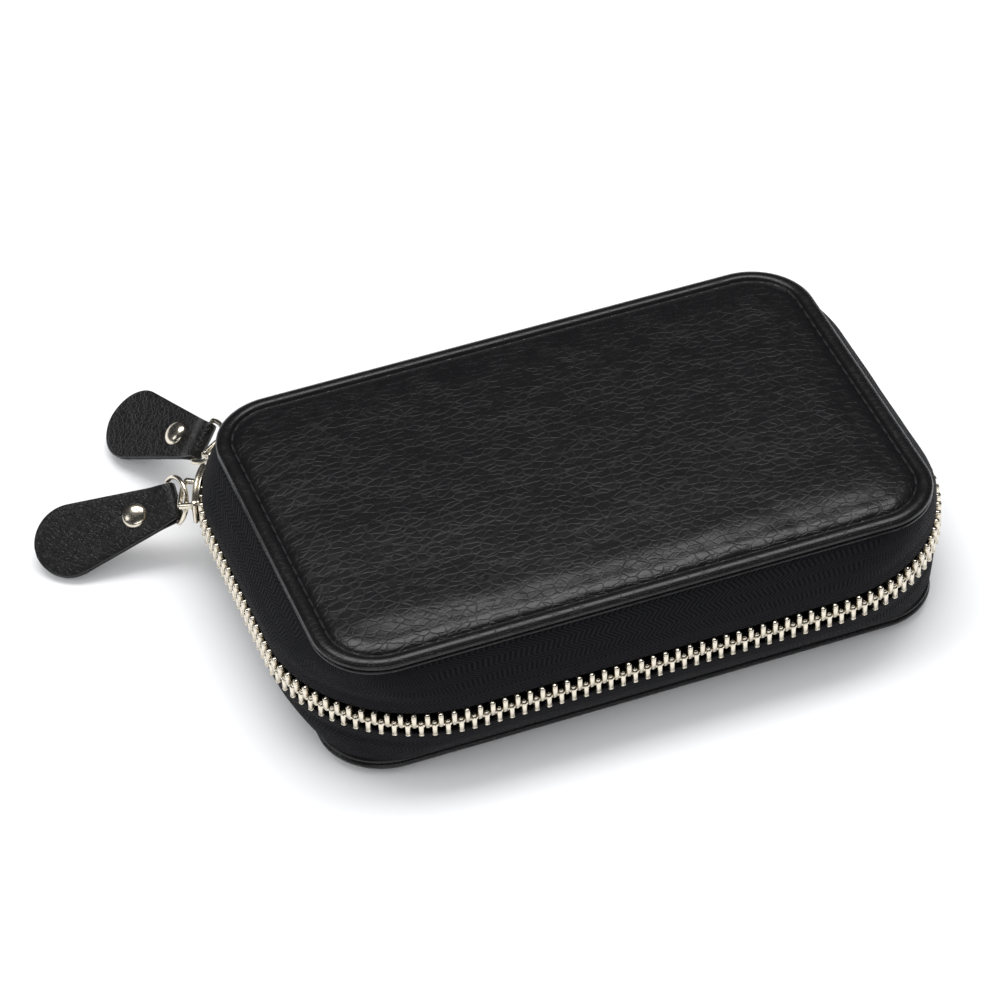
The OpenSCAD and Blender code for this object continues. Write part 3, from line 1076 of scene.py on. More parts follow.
@dataclass(frozen=True)
class Cushion:
    """The padding under a panel's leather, settled by a cloth simulation with air inside.

    Attributes:
        cell: Distance between the cloth's threads, in millimetres.
        margin: Distance from the panel's edge to the seam that holds the leather down.
        slack: Share by which the leather is cut larger than its seam.
        cap: Height that the highest fold may have, in millimetres.
        frames: Steps of the simulation.
    """

    cell: float = 4.0
    margin: float = 4.2
    slack: float = 0.022
    cap: float = 0.75
    frames: int = 20

    def settle(self) -> Callable[[float, float], float]:
        """Runs the simulation.

        Returns: Height above the plain padding, for a point of the panel.
        """
        seam = CASE.panel.shrunk(self.margin)
        bm = bmesh.new()
        xs = grid_lines(seam.half_l, [0.0], self.cell)
        ys = grid_lines(seam.half_w, [0.0], self.cell)

        def start(x: float, y: float) -> float:
            """Height of the leather before it settles."""
            return 0.5 * smoothstep(0, 12, seam.inset(x, y)) + 0.15 * ripple(x * 0.09, y * 0.09, 71.0)

        top = add_rounded_grid(bm, seam, xs, ys, start)
        rim = {vert for vert in top if vert.is_boundary}
        border = [edge for edge in bm.edges if edge.is_boundary]
        made = bmesh.ops.extrude_edge_only(bm, edges=border)["geom"]
        low = [item for item in made if isinstance(item, bmesh.types.BMVert)]
        for vert in low:
            vert.co.z -= 3.0
        foot = [item for item in made if isinstance(item, bmesh.types.BMEdge) and item.is_boundary]
        bmesh.ops.contextual_create(bm, geom=foot)
        bm.verts.index_update()
        held = [vert.index for vert in rim] + [vert.index for vert in low]
        bmesh.ops.recalc_face_normals(bm, faces=bm.faces)
        bmesh.ops.scale(bm, vec=(MM, MM, MM), verts=bm.verts)
        mesh = bpy.data.meshes.new("cushion_cloth")
        bm.to_mesh(mesh)
        bm.free()
        cloth = bpy.data.objects.new("cushion_cloth", mesh)
        bpy.context.scene.collection.objects.link(cloth)
        cloth.vertex_groups.new(name="seam").add(held, 1.0, "REPLACE")
        modifier = cloth.modifiers.new("cloth", "CLOTH")
        settings = modifier.settings
        settings.quality = 6
        settings.mass = 0.3
        settings.tension_stiffness = settings.compression_stiffness = 12
        settings.bending_stiffness = 0.4
        settings.shrink_min = -self.slack
        settings.use_pressure = True
        settings.uniform_pressure_force = 4
        settings.vertex_group_mass = "seam"
        settings.effector_weights.gravity = 0
        modifier.collision_settings.use_collision = False
        modifier.point_cache.frame_start, modifier.point_cache.frame_end = 1, self.frames
        smooth = cloth.modifiers.new("smooth", "SUBSURF")
        smooth.levels = smooth.render_levels = 2
        scene = bpy.context.scene
        for number in range(1, self.frames + 1):
            scene.frame_set(number)
        settled = cloth.evaluated_get(bpy.context.evaluated_depsgraph_get()).to_mesh()
        points = [vert.co / MM for vert in settled.vertices]
        tree = BVHTree.FromPolygons(points, [list(polygon.vertices) for polygon in settled.polygons])
        highest = max(point.z for point in points)
        bpy.data.objects.remove(cloth)
        scene.frame_set(1)
        gain = self.cap / highest
        log.info("cushion settled %.2f mm high", highest)

        def height(x: float, y: float) -> float:
            """Height of the settled leather above its seam, brought down to the cap."""
            spot = tree.ray_cast(Vector((x, y, 60)), Vector((0, 0, -1)))[0]
            return max(0.0, spot.z * gain) if spot else 0.0

        return height


@dataclass(frozen=True)
class Panel:
    """The padded leather face of one half, with its rolled rim, second band and line of stitches.

    Attributes:
        side: Which half it is on.
        puff: Height of the settled padding above its plain shape.
        crown: How far the padding stands above the rim.
        run: Distance over which it rises.
        stitch_at: Distance of the stitch line from the edge.
        groove: Depth of the stitch line's groove.
        pitch: Distance from one stitch to the next.
    """

    side: Side
    puff: Callable[[float, float], float]
    crown: float = 0.95
    run: float = 15.0
    stitch_at: float = 4.2
    groove: float = 0.5
    pitch: float = 4.1

    def face(self, x: float, y: float) -> float:
        """Height above the rim's own face, at a point of the panel.

        Args:
            x: Place along X.
            y: Place along Y.

        Returns:
            The height, in millimetres.
        """
        depth = CASE.panel.inset(x, y)
        bead, drop = 2.4, 1.5
        if depth < bead:
            return -drop * (1 - math.sqrt(max(1 - (1 - depth / bead) ** 2, 0)))
        sag = 0.38 * min((depth - bead) / (self.stitch_at - bead), 1) ** 2
        sag *= 1 - 0.6 * smoothstep(self.stitch_at, self.stitch_at + 3, depth)
        rise = self.crown * math.sin(math.pi / 2 * smoothstep(self.stitch_at - 0.6, self.run + 4, depth))
        seam = self.groove * math.exp(-(((depth - self.stitch_at) / 0.55) ** 2))
        seam += 0.28 * math.exp(-(((depth - self.stitch_at - 0.5) / 1.6) ** 2))
        near = smoothstep(self.stitch_at + 0.2, self.stitch_at + 2.0, depth)
        near *= 1 - smoothstep(self.run * 0.5, self.run * 1.1, depth)
        pucker = 0.16 * near * self.pucker(x, y)
        seed = 11.0 + self.side.value
        slack = smoothstep(self.stitch_at, 16.0, depth)
        wave = slack * (0.16 * ripple(x * 0.035, y * 0.07, seed) + 0.06 * ripple(x * 0.11, y * 0.26, seed + 5))
        folds = slack * 0.05 * ripple(x * 0.16, y * 0.85, seed + 9)
        plump = 0.13 * math.exp(-(((depth - self.stitch_at - 3.0) / 2.0) ** 2))
        held = smoothstep(self.stitch_at + 0.3, self.stitch_at + 9.0, depth)
        puff = held * self.puff(x * self.side.value, y)
        return rise - sag - seam + pucker + wave + folds + plump + puff

    def pucker(self, x: float, y: float) -> float:
        """Short wrinkles that run in from the stitches.

        Args:
            x: Place along X.
            y: Place along Y.

        Returns:
            Their height, about −1 to 1.
        """
        outline = CASE.panel
        cx, cy = outline.half_l - outline.r_front, outline.half_w - outline.r_front
        if abs(x) > cx and abs(y) > cy:
            along = outline.r_front * math.atan2(abs(y) - cy, abs(x) - cx) + 40.0
        elif abs(y) - outline.half_w > abs(x) - outline.half_l:
            along = x
        else:
            along = y + 300.0
        depth = outline.inset(x, y)
        seed = 3.0 + self.side.value + (7 if y > 0 else 0)
        fine = ripple(along * 0.42, depth * 0.10, seed)
        wide = ripple(along * 0.17, depth * 0.07, seed + 2)
        return 0.75 * fine + 0.6 * wide

    def build_skin(self, material: bpy.types.Material) -> bpy.types.Object:
        """Builds the padded leather, as a shell with a turned-under edge.

        Args:
            material: Its finish.

        Returns:
            The piece.
        """
        outline = CASE.panel
        fine = [0.0, 0.12, 0.3, 0.5, 0.75, 1.0, 1.3, 1.7, 2.2, 2.7, 3.1, 3.5, 3.8, 4.1, 4.4, 4.7, 5.1, 5.6, 6.2]
        xs, ys = grid_lines(outline.half_l, fine, 0.9), grid_lines(outline.half_w, fine, 0.9)
        bm = bmesh.new()
        add_rounded_grid(bm, outline, xs, ys, lambda x, y: CASE.half_h + self.face(x, y))
        cx, cy = outline.half_l - outline.r_front, outline.half_w - outline.r_front
        border = [edge for edge in bm.edges if edge.is_boundary]
        for drop, pull in ((0.15, 0.02), (0.2, 0.2), (0.15, 0.5), (0.02, 0.9)):
            made = bmesh.ops.extrude_edge_only(bm, edges=border)["geom"]
            ring = [item for item in made if isinstance(item, bmesh.types.BMVert)]
            border = [item for item in made if isinstance(item, bmesh.types.BMEdge) and item.is_boundary]
            for vert in ring:
                centre = Vector((max(-cx, min(cx, vert.co.x)), max(-cy, min(cy, vert.co.y)), vert.co.z))
                inwards = (centre - vert.co).normalized()
                vert.co += pull * inwards + Vector((0, 0, -drop))
        flat = bm.verts.layers.float.new("flat")
        for vert in bm.verts:
            depth = outline.inset(vert.co.x, vert.co.y)
            vert[flat] = 1 - smoothstep(self.stitch_at - 0.4, self.stitch_at + 0.8, depth)
        return self.stand(bm, f"{self.side.panel}_padded_face", material)

    def stand(self, bm: bmesh.types.BMesh, name: str, material: bpy.types.Material) -> bpy.types.Object:
        """Moves a mesh drawn about the zip's plane to its half, and finishes it.

        Args:
            bm: The mesh.
            name: The piece's name.
            material: Its finish.

        Returns:
            The piece.
        """
        flip = Matrix.Scale(self.side.value, 4, (0, 0, 1))
        lift = Matrix.Translation((0, 0, CASE.zip_z))
        bmesh.ops.transform(bm, matrix=lift @ flip, verts=bm.verts)
        if self.side is Side.BOTTOM:
            bmesh.ops.reverse_faces(bm, faces=bm.faces)
        return finish_piece(bm, name, material, outward=False)

    def build_bands(self, material: bpy.types.Material) -> bpy.types.Object:
        """Builds the rolled rim below the face and the thin band below that.

        Args:
            material: Its finish.

        Returns:
            The piece.
        """
        bm = bmesh.new()
        for radius, inset, up, squeeze in ((1.02, 1.05, 16.55, 0.95), (0.66, 0.78, 14.95, 0.9)):
            outline = CASE.panel
            total = sum(outline.lengths())

            def skin(u: float, v: float, radius: float = radius, inset: float = inset, up: float = up,
                     squeeze: float = squeeze) -> Vector:
                """Point on the band's skin.

                Args:
                    u: Part of the way along the band.
                    v: Part of the way round it.
                    radius: The band's radius.
                    inset: How far its middle lies inside the outline.
                    up: Its height.
                    squeeze: Its height as a share of its width.

                Returns:
                    The point, in millimetres.
                """
                stretch, part = outline.walk((u % 1) * total)
                point, normal = outline.at(stretch, part)
                uneven = 1 + 0.02 * ripple(u * 60, v, 6.0)
                turn = 2 * math.pi * v
                out = -inset + radius * uneven * math.cos(turn)
                return point + out * normal + Vector((0, 0, up + radius * squeeze * math.sin(turn)))

            add_surface(bm, 420, 14, skin, (total, 6.0))
        bmesh.ops.remove_doubles(bm, verts=bm.verts, dist=0.002)
        bmesh.ops.recalc_face_normals(bm, faces=bm.faces)
        lift = Matrix.Translation((0, 0, CASE.zip_z)) @ Matrix.Scale(self.side.value, 4, (0, 0, 1))
        bmesh.ops.transform(bm, matrix=lift, verts=bm.verts)
        return finish_piece(bm, f"{self.side.panel}_rolled_rim", material)

    def build_stitches(self, material: bpy.types.Material) -> bpy.types.Object:
        """Builds the stitches: short sunk threads between needle holes.

        Args:
            material: Its finish.

        Returns:
            The piece.
        """
        bm = bmesh.new()
        line = CASE.panel.shrunk(self.stitch_at)
        total = sum(line.lengths())
        count = round(total / self.pitch)
        for number in range(count):
            spots = []
            for shift in (0.17, 0.83):
                point, _ = line.at(*line.walk(total * (number + shift) / count))
                spots.append(Vector((point.x, point.y, CASE.half_h + self.face(point.x, point.y))))
            start, end = spots
            middle = (start + end) / 2
            ahead = end - start
            turn = ahead.to_track_quat("X", "Z").to_matrix().to_4x4()
            other = bmesh.new()
            bmesh.ops.create_uvsphere(other, u_segments=8, v_segments=6, radius=0.5)
            lying = Matrix.Rotation(math.pi / 2, 3, "Y")
            bmesh.ops.rotate(other, verts=other.verts, cent=(0, 0, 0), matrix=lying)
            for vert in other.verts:
                vert.co.x += math.copysign((ahead.length - 0.4) / 2, vert.co.x)
                vert.co.z = vert.co.z * 0.62 - 0.10 * (2 * vert.co.x / ahead.length) ** 2
                vert.co.y *= 0.75
            place = Matrix.Translation(middle + Vector((0, 0, 0.02))) @ turn
            bmesh.ops.transform(other, matrix=place, verts=other.verts)
            merge_in(bm, other)
        return self.stand(bm, f"{self.side.panel}_stitches", material)


# ---------------------------------------------------------------- sliders and pullers


@dataclass(frozen=True)
class Slider:
    """A zip slider, bent to the corner it stands on, with its bridge.

    Attributes:
        name: Name of its CAD node and body.
        angle: Where it stands round the left back corner, in degrees.
        lead: The end that holds the post: −1 or 1.
        length: Its length along the zip, in millimetres.
        bar_out: Distance from the zip's line to the bridge bar.
        bridge_half: Half of the bridge's length.
        post_in: Distance from the nose to the middle of the post.
    """

    name: str
    angle: float
    lead: int
    length: float = 15.0
    bar_out: float = 6.1
    bridge_half: float = 4.9
    post_in: float = 2.9

    def half_angle(self) -> float:
        """Half of the slider's length, as an angle round the corner in degrees."""
        return math.degrees(self.length / 2 / CASE.zip_line.r_back)

    def width_at(self, part: float) -> float:
        """Half height of the plate from its tail at 0 to its nose at 1."""
        nose = 1 - math.sqrt(max(1 - smoothstep(0.78, 1.02, part) ** 2 * 0.55, 0))
        return 3.55 + 0.85 * smoothstep(0.25, 0.7, part) - 1.6 * nose - 0.5 * (1 - smoothstep(0.0, 0.08, part))

    def place(self, part: float, out: float, up: float) -> Vector:
        """Point on the slider, where part runs from the tail at 0 to the nose at 1.

        Args:
            part: Part of the way from tail to nose.
            out: Distance outwards from the zip's line.
            up: Height above the zip's plane.

        Returns:
            The point, in millimetres.
        """
        angle = self.angle + self.lead * self.half_angle() * (2 * part - 1)
        return CASE.corner(angle, out, up)

    def plate(self, bm: bmesh.types.BMesh, inner: float, outer: float) -> None:
        """Adds one of the two plates, with rounded edges and its lips.

        Args:
            bm: The mesh to add to.
            inner: Where its inner face lies, outwards from the line.
            outer: Where its outer face lies.
        """
        face = outer if abs(outer) > abs(inner) else inner
        back = inner if face == outer else outer
        swell = math.copysign(0.16, face)

        def shape(u: float, v: float) -> Vector:
            """Round the plate's section: out over the face and back along the inside.

            Args:
                u: Part of the way from tail to nose.
                v: Part of the way round the section.

            Returns:
                The point, in millimetres.
            """
            half = self.width_at(u)
            depth, up = squared(v, 0.32, 0.32)
            up *= half
            mid, thick = (face + back) / 2, abs(face - back) / 2
            end = 1 - 0.65 * (1 - smoothstep(0.0, 0.035, u)) - 0.65 * smoothstep(0.965, 1.0, u)
            out = mid + math.copysign(thick, face) * depth * end
            if depth > 0:
                out += swell * (1 - (up / half) ** 2) * smoothstep(0.0, 0.2, u)
            return self.place(u, out, up * (0.93 + 0.07 * end))

        close_up(bm, add_surface(bm, 30, 48, shape), MERGE)

    def bar(self, bm: bmesh.types.BMesh, begin: tuple, end: tuple, size: tuple[float, float], bevel: float) -> None:
        """Adds a rounded bar between two places on the slider.

        Args:
            bm: The mesh to add to.
            begin: Part, out and up of its start.
            end: Part, out and up of its end.
            size: Its two widths.
            bevel: Width of its bevel.
        """
        start, stop = self.place(*begin), self.place(*end)
        ahead = stop - start
        turn = ahead.to_track_quat("X", "Z").to_matrix().to_4x4()
        spot = Matrix.Translation((start + stop) / 2) @ turn
        add_block(bm, (ahead.length, *size), spot, bevel, 3)

    def build(self, material: bpy.types.Material) -> bpy.types.Object:
        """Builds the slider.

        Args:
            material: Its finish.

        Returns:
            The piece.
        """
        bm = bmesh.new()
        self.plate(bm, 1.5, 2.75)
        self.plate(bm, -1.5, -2.7)
        for out in (1.12, -1.12):
            for up in (-1, 1):
                def lip(u: float, v: float, out: float = out, up: float = up) -> Vector:
                    """Point on the turned-in edge of a plate.

                    Args:
                        u: Part of the way along the lip.
                        v: Part of the way round it.
                        out: Distance of its middle from the zip's line.
                        up: Which edge: −1 or 1.

                    Returns:
                        The point, in millimetres.
                    """
                    turn = 2 * math.pi * v
                    part = 0.04 + 0.92 * u
                    edge = self.width_at(part) - 0.42
                    return self.place(part, out + 0.5 * math.cos(turn), up * edge + 0.36 * math.sin(turn))

                close_up(bm, add_surface(bm, 26, 12, lip), MERGE)
        post = 1 - self.post_in / self.length
        self.bar(bm, (post, -2.0, 0), (post, 2.0, 0), (3.9, 2.5), 0.6)
        bar_r = CASE.zip_line.r_back + self.bar_out
        wide = math.degrees(self.bridge_half / bar_r) / (2 * self.half_angle())
        for end in (-1, 1):
            part = 0.5 + end * wide
            self.bar(bm, (part, 2.3, 0), (part, 6.35, 0), (1.5, 1.35), 0.4)
            self.bar(bm, (part, 2.3, 0), (part, 3.1, 0), (2.3, 2.4), 0.5)
        low, high = 0.5 - wide, 0.5 + wide

        def bridge(u: float) -> Vector:
            """Centre of the bar that the ring hangs on."""
            return self.place(low + (high - low) * u, self.bar_out - 0.12 * (2 * u - 1) ** 2, 0)

        add_tube(bm, bridge, 0.7, 16, 16)
        piece = finish_piece(bm, f"{self.name}_body", material)
        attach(piece, self.name)
        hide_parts(self.name)
        return piece


@dataclass(frozen=True)
class Puller:
    """A wire ring, a leather strap folded round it and a rivet.

    Attributes:
        name: "front" or "rear".
        angle: Where its slider stands round the corner, in degrees.
        pose: Roll, droop, heading and the ring's own drop, in degrees.
        seed: Makes the two straps differ.
        length: Length of the strap, in millimetres.
        neck: Its width at the ring.
        wide: Its width at the round end.
        rivet_at: Distance from the ring's straight side to the rivet.
        ring_r: Radius of the ring's round side.
        ring_leg: Length of the ring's two legs.
        ring_back: Distance from the bridge bar to the ring's round side.
        wire: Radius of the ring's wire.
    """

    name: str
    angle: float
    pose: tuple[float, float, float, float]
    seed: float
    length: float = 38.0
    neck: float = 10.0
    wide: float = 19.6
    rivet_at: float = 10.5
    ring_r: float = 6.0
    ring_leg: float = 1.0
    ring_back: float = 2.0
    wire: float = 0.65

    def at_bar(self, drop: float) -> Matrix:
        """Frame at the bridge bar, with +X along the puller and +Y along the bar.

        Args:
            drop: The ring's own drop, in degrees.

        Returns:
            The frame.
        """
        roll, droop, heading = (math.radians(value) for value in self.pose[:3])
        turn = Matrix.Rotation(heading, 4, "Z") @ Matrix.Rotation(droop, 4, "Y") @ Matrix.Rotation(roll, 4, "X")
        bar = Matrix.Translation(CASE.corner(self.angle, Slider.bar_out))
        return bar @ turn @ Matrix.Rotation(math.radians(drop), 4, "Y")

    def at_ring(self) -> Matrix:
        """Frame at the ring's straight side, turned as the strap is.

        Returns:
            The frame.
        """
        back = Matrix.Rotation(-math.radians(self.pose[3]), 4, "Y")
        reach = self.ring_r + self.ring_leg - self.ring_back
        return self.at_bar(self.pose[3]) @ Matrix.Translation((reach, 0, 0)) @ back

    def build_ring(self, material: bpy.types.Material) -> bpy.types.Object:
        """Builds the D ring as one closed tube.

        Args:
            material: Its finish.

        Returns:
            The piece.
        """
        bm = bmesh.new()

        def path(u: float) -> Vector:
            """Round the D: the half circle, a leg, the straight side and the other leg.

            Args:
                u: Part of the way round.

            Returns:
                The centre of the wire, in millimetres.
            """
            r, leg = self.ring_r, self.ring_leg
            arc, flat, middle = math.pi * r, 2 * r, r - self.ring_back
            at = u * (arc + 2 * leg + flat)
            if at < arc:
                return Vector((middle - r * math.sin(at / r), r * math.cos(at / r), 0))
            at -= arc
            if at < leg:
                return Vector((middle + at, -r, 0))
            at -= leg
            if at < flat:
                return Vector((middle + leg, -r + at, 0))
            return Vector((middle + leg - (at - flat), r, 0))

        add_tube(bm, path, self.wire, 150, 14, closed=True)
        bmesh.ops.transform(bm, matrix=self.at_bar(self.pose[3]), verts=bm.verts)
        piece = finish_piece(bm, f"{self.name}_wire_ring", material)
        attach(piece, f"{self.name}_ring")
        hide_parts(f"{self.name}_ring")
        return piece

    def half_width(self, x: float) -> float:
        """Half width of the strap at a distance from the ring's bar.

        Args:
            x: Distance from the ring's bar.

        Returns:
            The half width, in millimetres.
        """
        neck, end = self.neck / 2, self.wide / 2
        end_x = self.length - end
        taper = math.asin((end - neck) / end_x)
        touch = end_x - end * math.sin(taper)
        if x < touch:
            return neck + (end * math.cos(taper) - neck) * max(x, 0) / touch
        return math.sqrt(max(end**2 - (x - end_x) ** 2, 0))

    def layer_height(self, x: float, side: float) -> float:
        """Height of a layer's middle: round the ring's bar, then flat against the other layer."""
        return side * (0.56 + 0.72 * (1 - smoothstep(0.6, 5.5, x)))

    def build_strap(self, leather: bpy.types.Material) -> bpy.types.Object:
        """Builds the strap: one band of leather that runs out, back over the bar and out again.

        Args:
            leather: Its finish.

        Returns:
            The piece.
        """
        bm = bmesh.new()
        half_thick = 0.52
        bend_r = 1.30
        arc = math.pi * bend_r
        total = 2 * self.length + arc

        def slope(x: float) -> float:
            """Slope of the upper layer at a distance from the bar."""
            return (self.layer_height(x + 0.05, 1) - self.layer_height(x - 0.05, 1)) / 0.1 if x > 0.06 else 0.0

        def centre(s: float) -> tuple[float, float, Vector]:
            """Distance from the bar, height, and outward normal in the strap's side view.

            Args:
                s: Distance along the band.

            Returns:
                The distance from the bar, the height and the normal.
            """
            if s < self.length:
                x = self.length - s
                return x, self.layer_height(x, 1), Vector((-slope(x), 0, 1)).normalized()
            if s < self.length + arc:
                turn = (s - self.length) / bend_r
                normal = Vector((-math.sin(turn), 0, math.cos(turn)))
                return bend_r * normal.x, bend_r * normal.z, normal
            x = s - self.length - arc
            return x, self.layer_height(x, -1), Vector((-slope(x), 0, -1)).normalized()

        def along(u: float) -> float:
            """Distance along the band, with closer steps at its two round ends."""
            bunch = u - math.sin(2 * math.pi * u) / (2 * math.pi) * 0.82
            return total * bunch

        def skin(u: float, v: float) -> Vector:
            """Round the band's section at u: a flat leather strip with rounded cut edges.

            Args:
                u: Part of the way along the band.
                v: Part of the way round its section.

            Returns:
                The point, in millimetres.
            """
            x, z, normal = centre(along(u))
            half = self.half_width(x) if x > 0 else self.neck / 2
            across, lift = squared(v, 0.28, 0.42)
            y = across * max(half - 0.02, 0.0)
            lift *= half_thick * min(1.0, half / 1.2) ** 0.5
            press = -0.30 * math.exp(-((x - self.rivet_at) ** 2 + y * y) / 12.0)
            bow = 0.10 * ripple(x * 0.09, y * 0.11, self.seed)
            return Vector((x, y, z + bow)) + (lift + press) * normal

        close_up(bm, add_surface(bm, 148, 44, skin), 0.003)
        bmesh.ops.transform(bm, matrix=self.at_ring(), verts=bm.verts)
        piece = finish_piece(bm, f"{self.name}_leather_strap", leather)
        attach(piece, f"{self.name}_strap")
        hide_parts(f"{self.name}_strap")
        return piece

    def build_rivet(self, material: bpy.types.Material) -> bpy.types.Object:
        """Builds the rivet's two domed caps, spun about its axis.

        Args:
            material: Its finish.

        Returns:
            The piece.
        """
        bm = bmesh.new()
        profile = [
            (0.0, 2.42), (0.8, 2.39), (1.6, 2.27), (2.3, 2.05), (2.8, 1.77), (3.15, 1.44), (3.34, 1.12),
            (3.38, 0.92), (3.3, 0.78), (3.1, 0.72), (0.9, 0.72), (0.9, 0.0),
        ]
        for side in (-1, 1):
            verts = [bm.verts.new((r, 0, side * z)) for r, z in profile]
            edges = [bm.edges.new(pair) for pair in zip(verts, verts[1:])]
            bmesh.ops.spin(
                bm, geom=verts + edges, cent=(0, 0, 0), axis=(0, 0, 1), dvec=(0, 0, 0), angle=2 * math.pi,
                steps=48, use_merge=True, use_duplicate=False,
            )
        bmesh.ops.remove_doubles(bm, verts=bm.verts, dist=MERGE)
        bmesh.ops.transform(bm, matrix=self.at_ring() @ Matrix.Translation((self.rivet_at, 0, 0)), verts=bm.verts)
        piece = finish_piece(bm, f"{self.name}_rivet_caps", material)
        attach(piece, f"{self.name}_strap")
        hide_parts(f"{self.name}_rivet")
        return piece


# ---------------------------------------------------------------- spine and inside


@dataclass
class Spine:
    """The bowed back: leather outside and lining inside, each in two halves.

    Attributes:
        leather: Finish of the outside.
        lining: Finish of the inside.
        half_l: Half length, along X.
        radius: Radius of the outside's bow.
        centre: Where that radius is drawn from, along Y.
        edge_up: Height of its edge above the zip's plane.
        bow_up: Height to which the bow runs, before it turns in to the panel.
        panel_y: Where the panel's own edge lies, along Y.
        bend: Heights between which a fold would bend, the panel's end first; worked out but not used.
    """

    leather: bpy.types.Material
    lining: bpy.types.Material
    half_l: float = 55.1
    radius: float = 27.561
    centre: float = 30.94
    edge_up: float = 15.3
    bow_up: float = 14.2
    panel_y: float = 52.6
    bend: tuple[float, float] = (18.0, 12.5)

    def section(self, part: float, inward: float) -> tuple[float, float]:
        """Y and height above the zip's plane, from the panel's edge at 0 to mid height at 1.

        Args:
            part: Part of the way from the edge to mid height.
            inward: Distance in from the outer face.

        Returns:
            The place along Y, and the height.
        """
        top = self.edge_up - inward * 0.2
        height = top * (1 - part)
        reach = self.radius - inward
        y = self.centre + math.sqrt(reach**2 - min(height, self.bow_up) ** 2)
        if height > self.bow_up:
            y += (self.panel_y - y) * smoothstep(self.bow_up, top + 1.6, height) * 0.8
        return y, height

    def build_half(self, side: Side, inner: bool) -> bpy.types.Object:
        """Builds one half of the outside or the lining.

        Args:
            side: Which half.
            inner: Whether it is the lining.

        Returns:
            The piece.
        """
        bm = bmesh.new()
        depth, thick = (1.95, 0.5) if inner else (0.0, 1.0)
        seed = 21.0 + side.value + 5 * inner

        def around(u: float, v: float) -> Vector:
            """Out over the face, over the edge and back behind it.

            Args:
                u: Part of the way along the spine.
                v: Part of the way round the section.

            Returns:
                The point, in millimetres.
            """
            x = self.half_l * (2 * u - 1)
            if v < 0.48:
                part, level = v / 0.48, 0.0
            elif v > 0.52:
                part, level = (1 - v) / 0.48, 1.0
            else:
                part, level = 1.0, (v - 0.48) / 0.04
            y, height = self.section(part, depth + thick * level)
            wrinkle = 0.10 * ripple(x * 0.05, height * 0.5, seed) + 0.05 * ripple(x * 0.22, height * 0.9, seed)
            end = 0.5 * (1 - smoothstep(0.0, 0.012, min(u, 1 - u)))
            y += (0.0 if level > 0.5 else wrinkle) - end * (1 - 2 * level) * 0.5
            return Vector((x, y, CASE.zip_z + side.value * height))

        close_up(bm, add_surface(bm, 150, 100, around, (2 * self.half_l, 34.0)), 0.002)
        word = "lining" if inner else "leather"
        piece = finish_piece(bm, f"spine_{word}_{side.panel}", self.lining if inner else self.leather)
        low, high = (CASE.zip_z + side.value * up for up in self.bend)
        if side is Side.BOTTOM:
            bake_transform(piece)
        else:
            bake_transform(piece)
        return piece

    def build(self) -> None:
        """Builds the four pieces."""
        for inner, old in ((False, "spine_cover"), (True, "spine_lining")):
            for side in Side:
                piece = self.build_half(side, inner)
                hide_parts(old)
                log.info("spine: %s", piece.name)


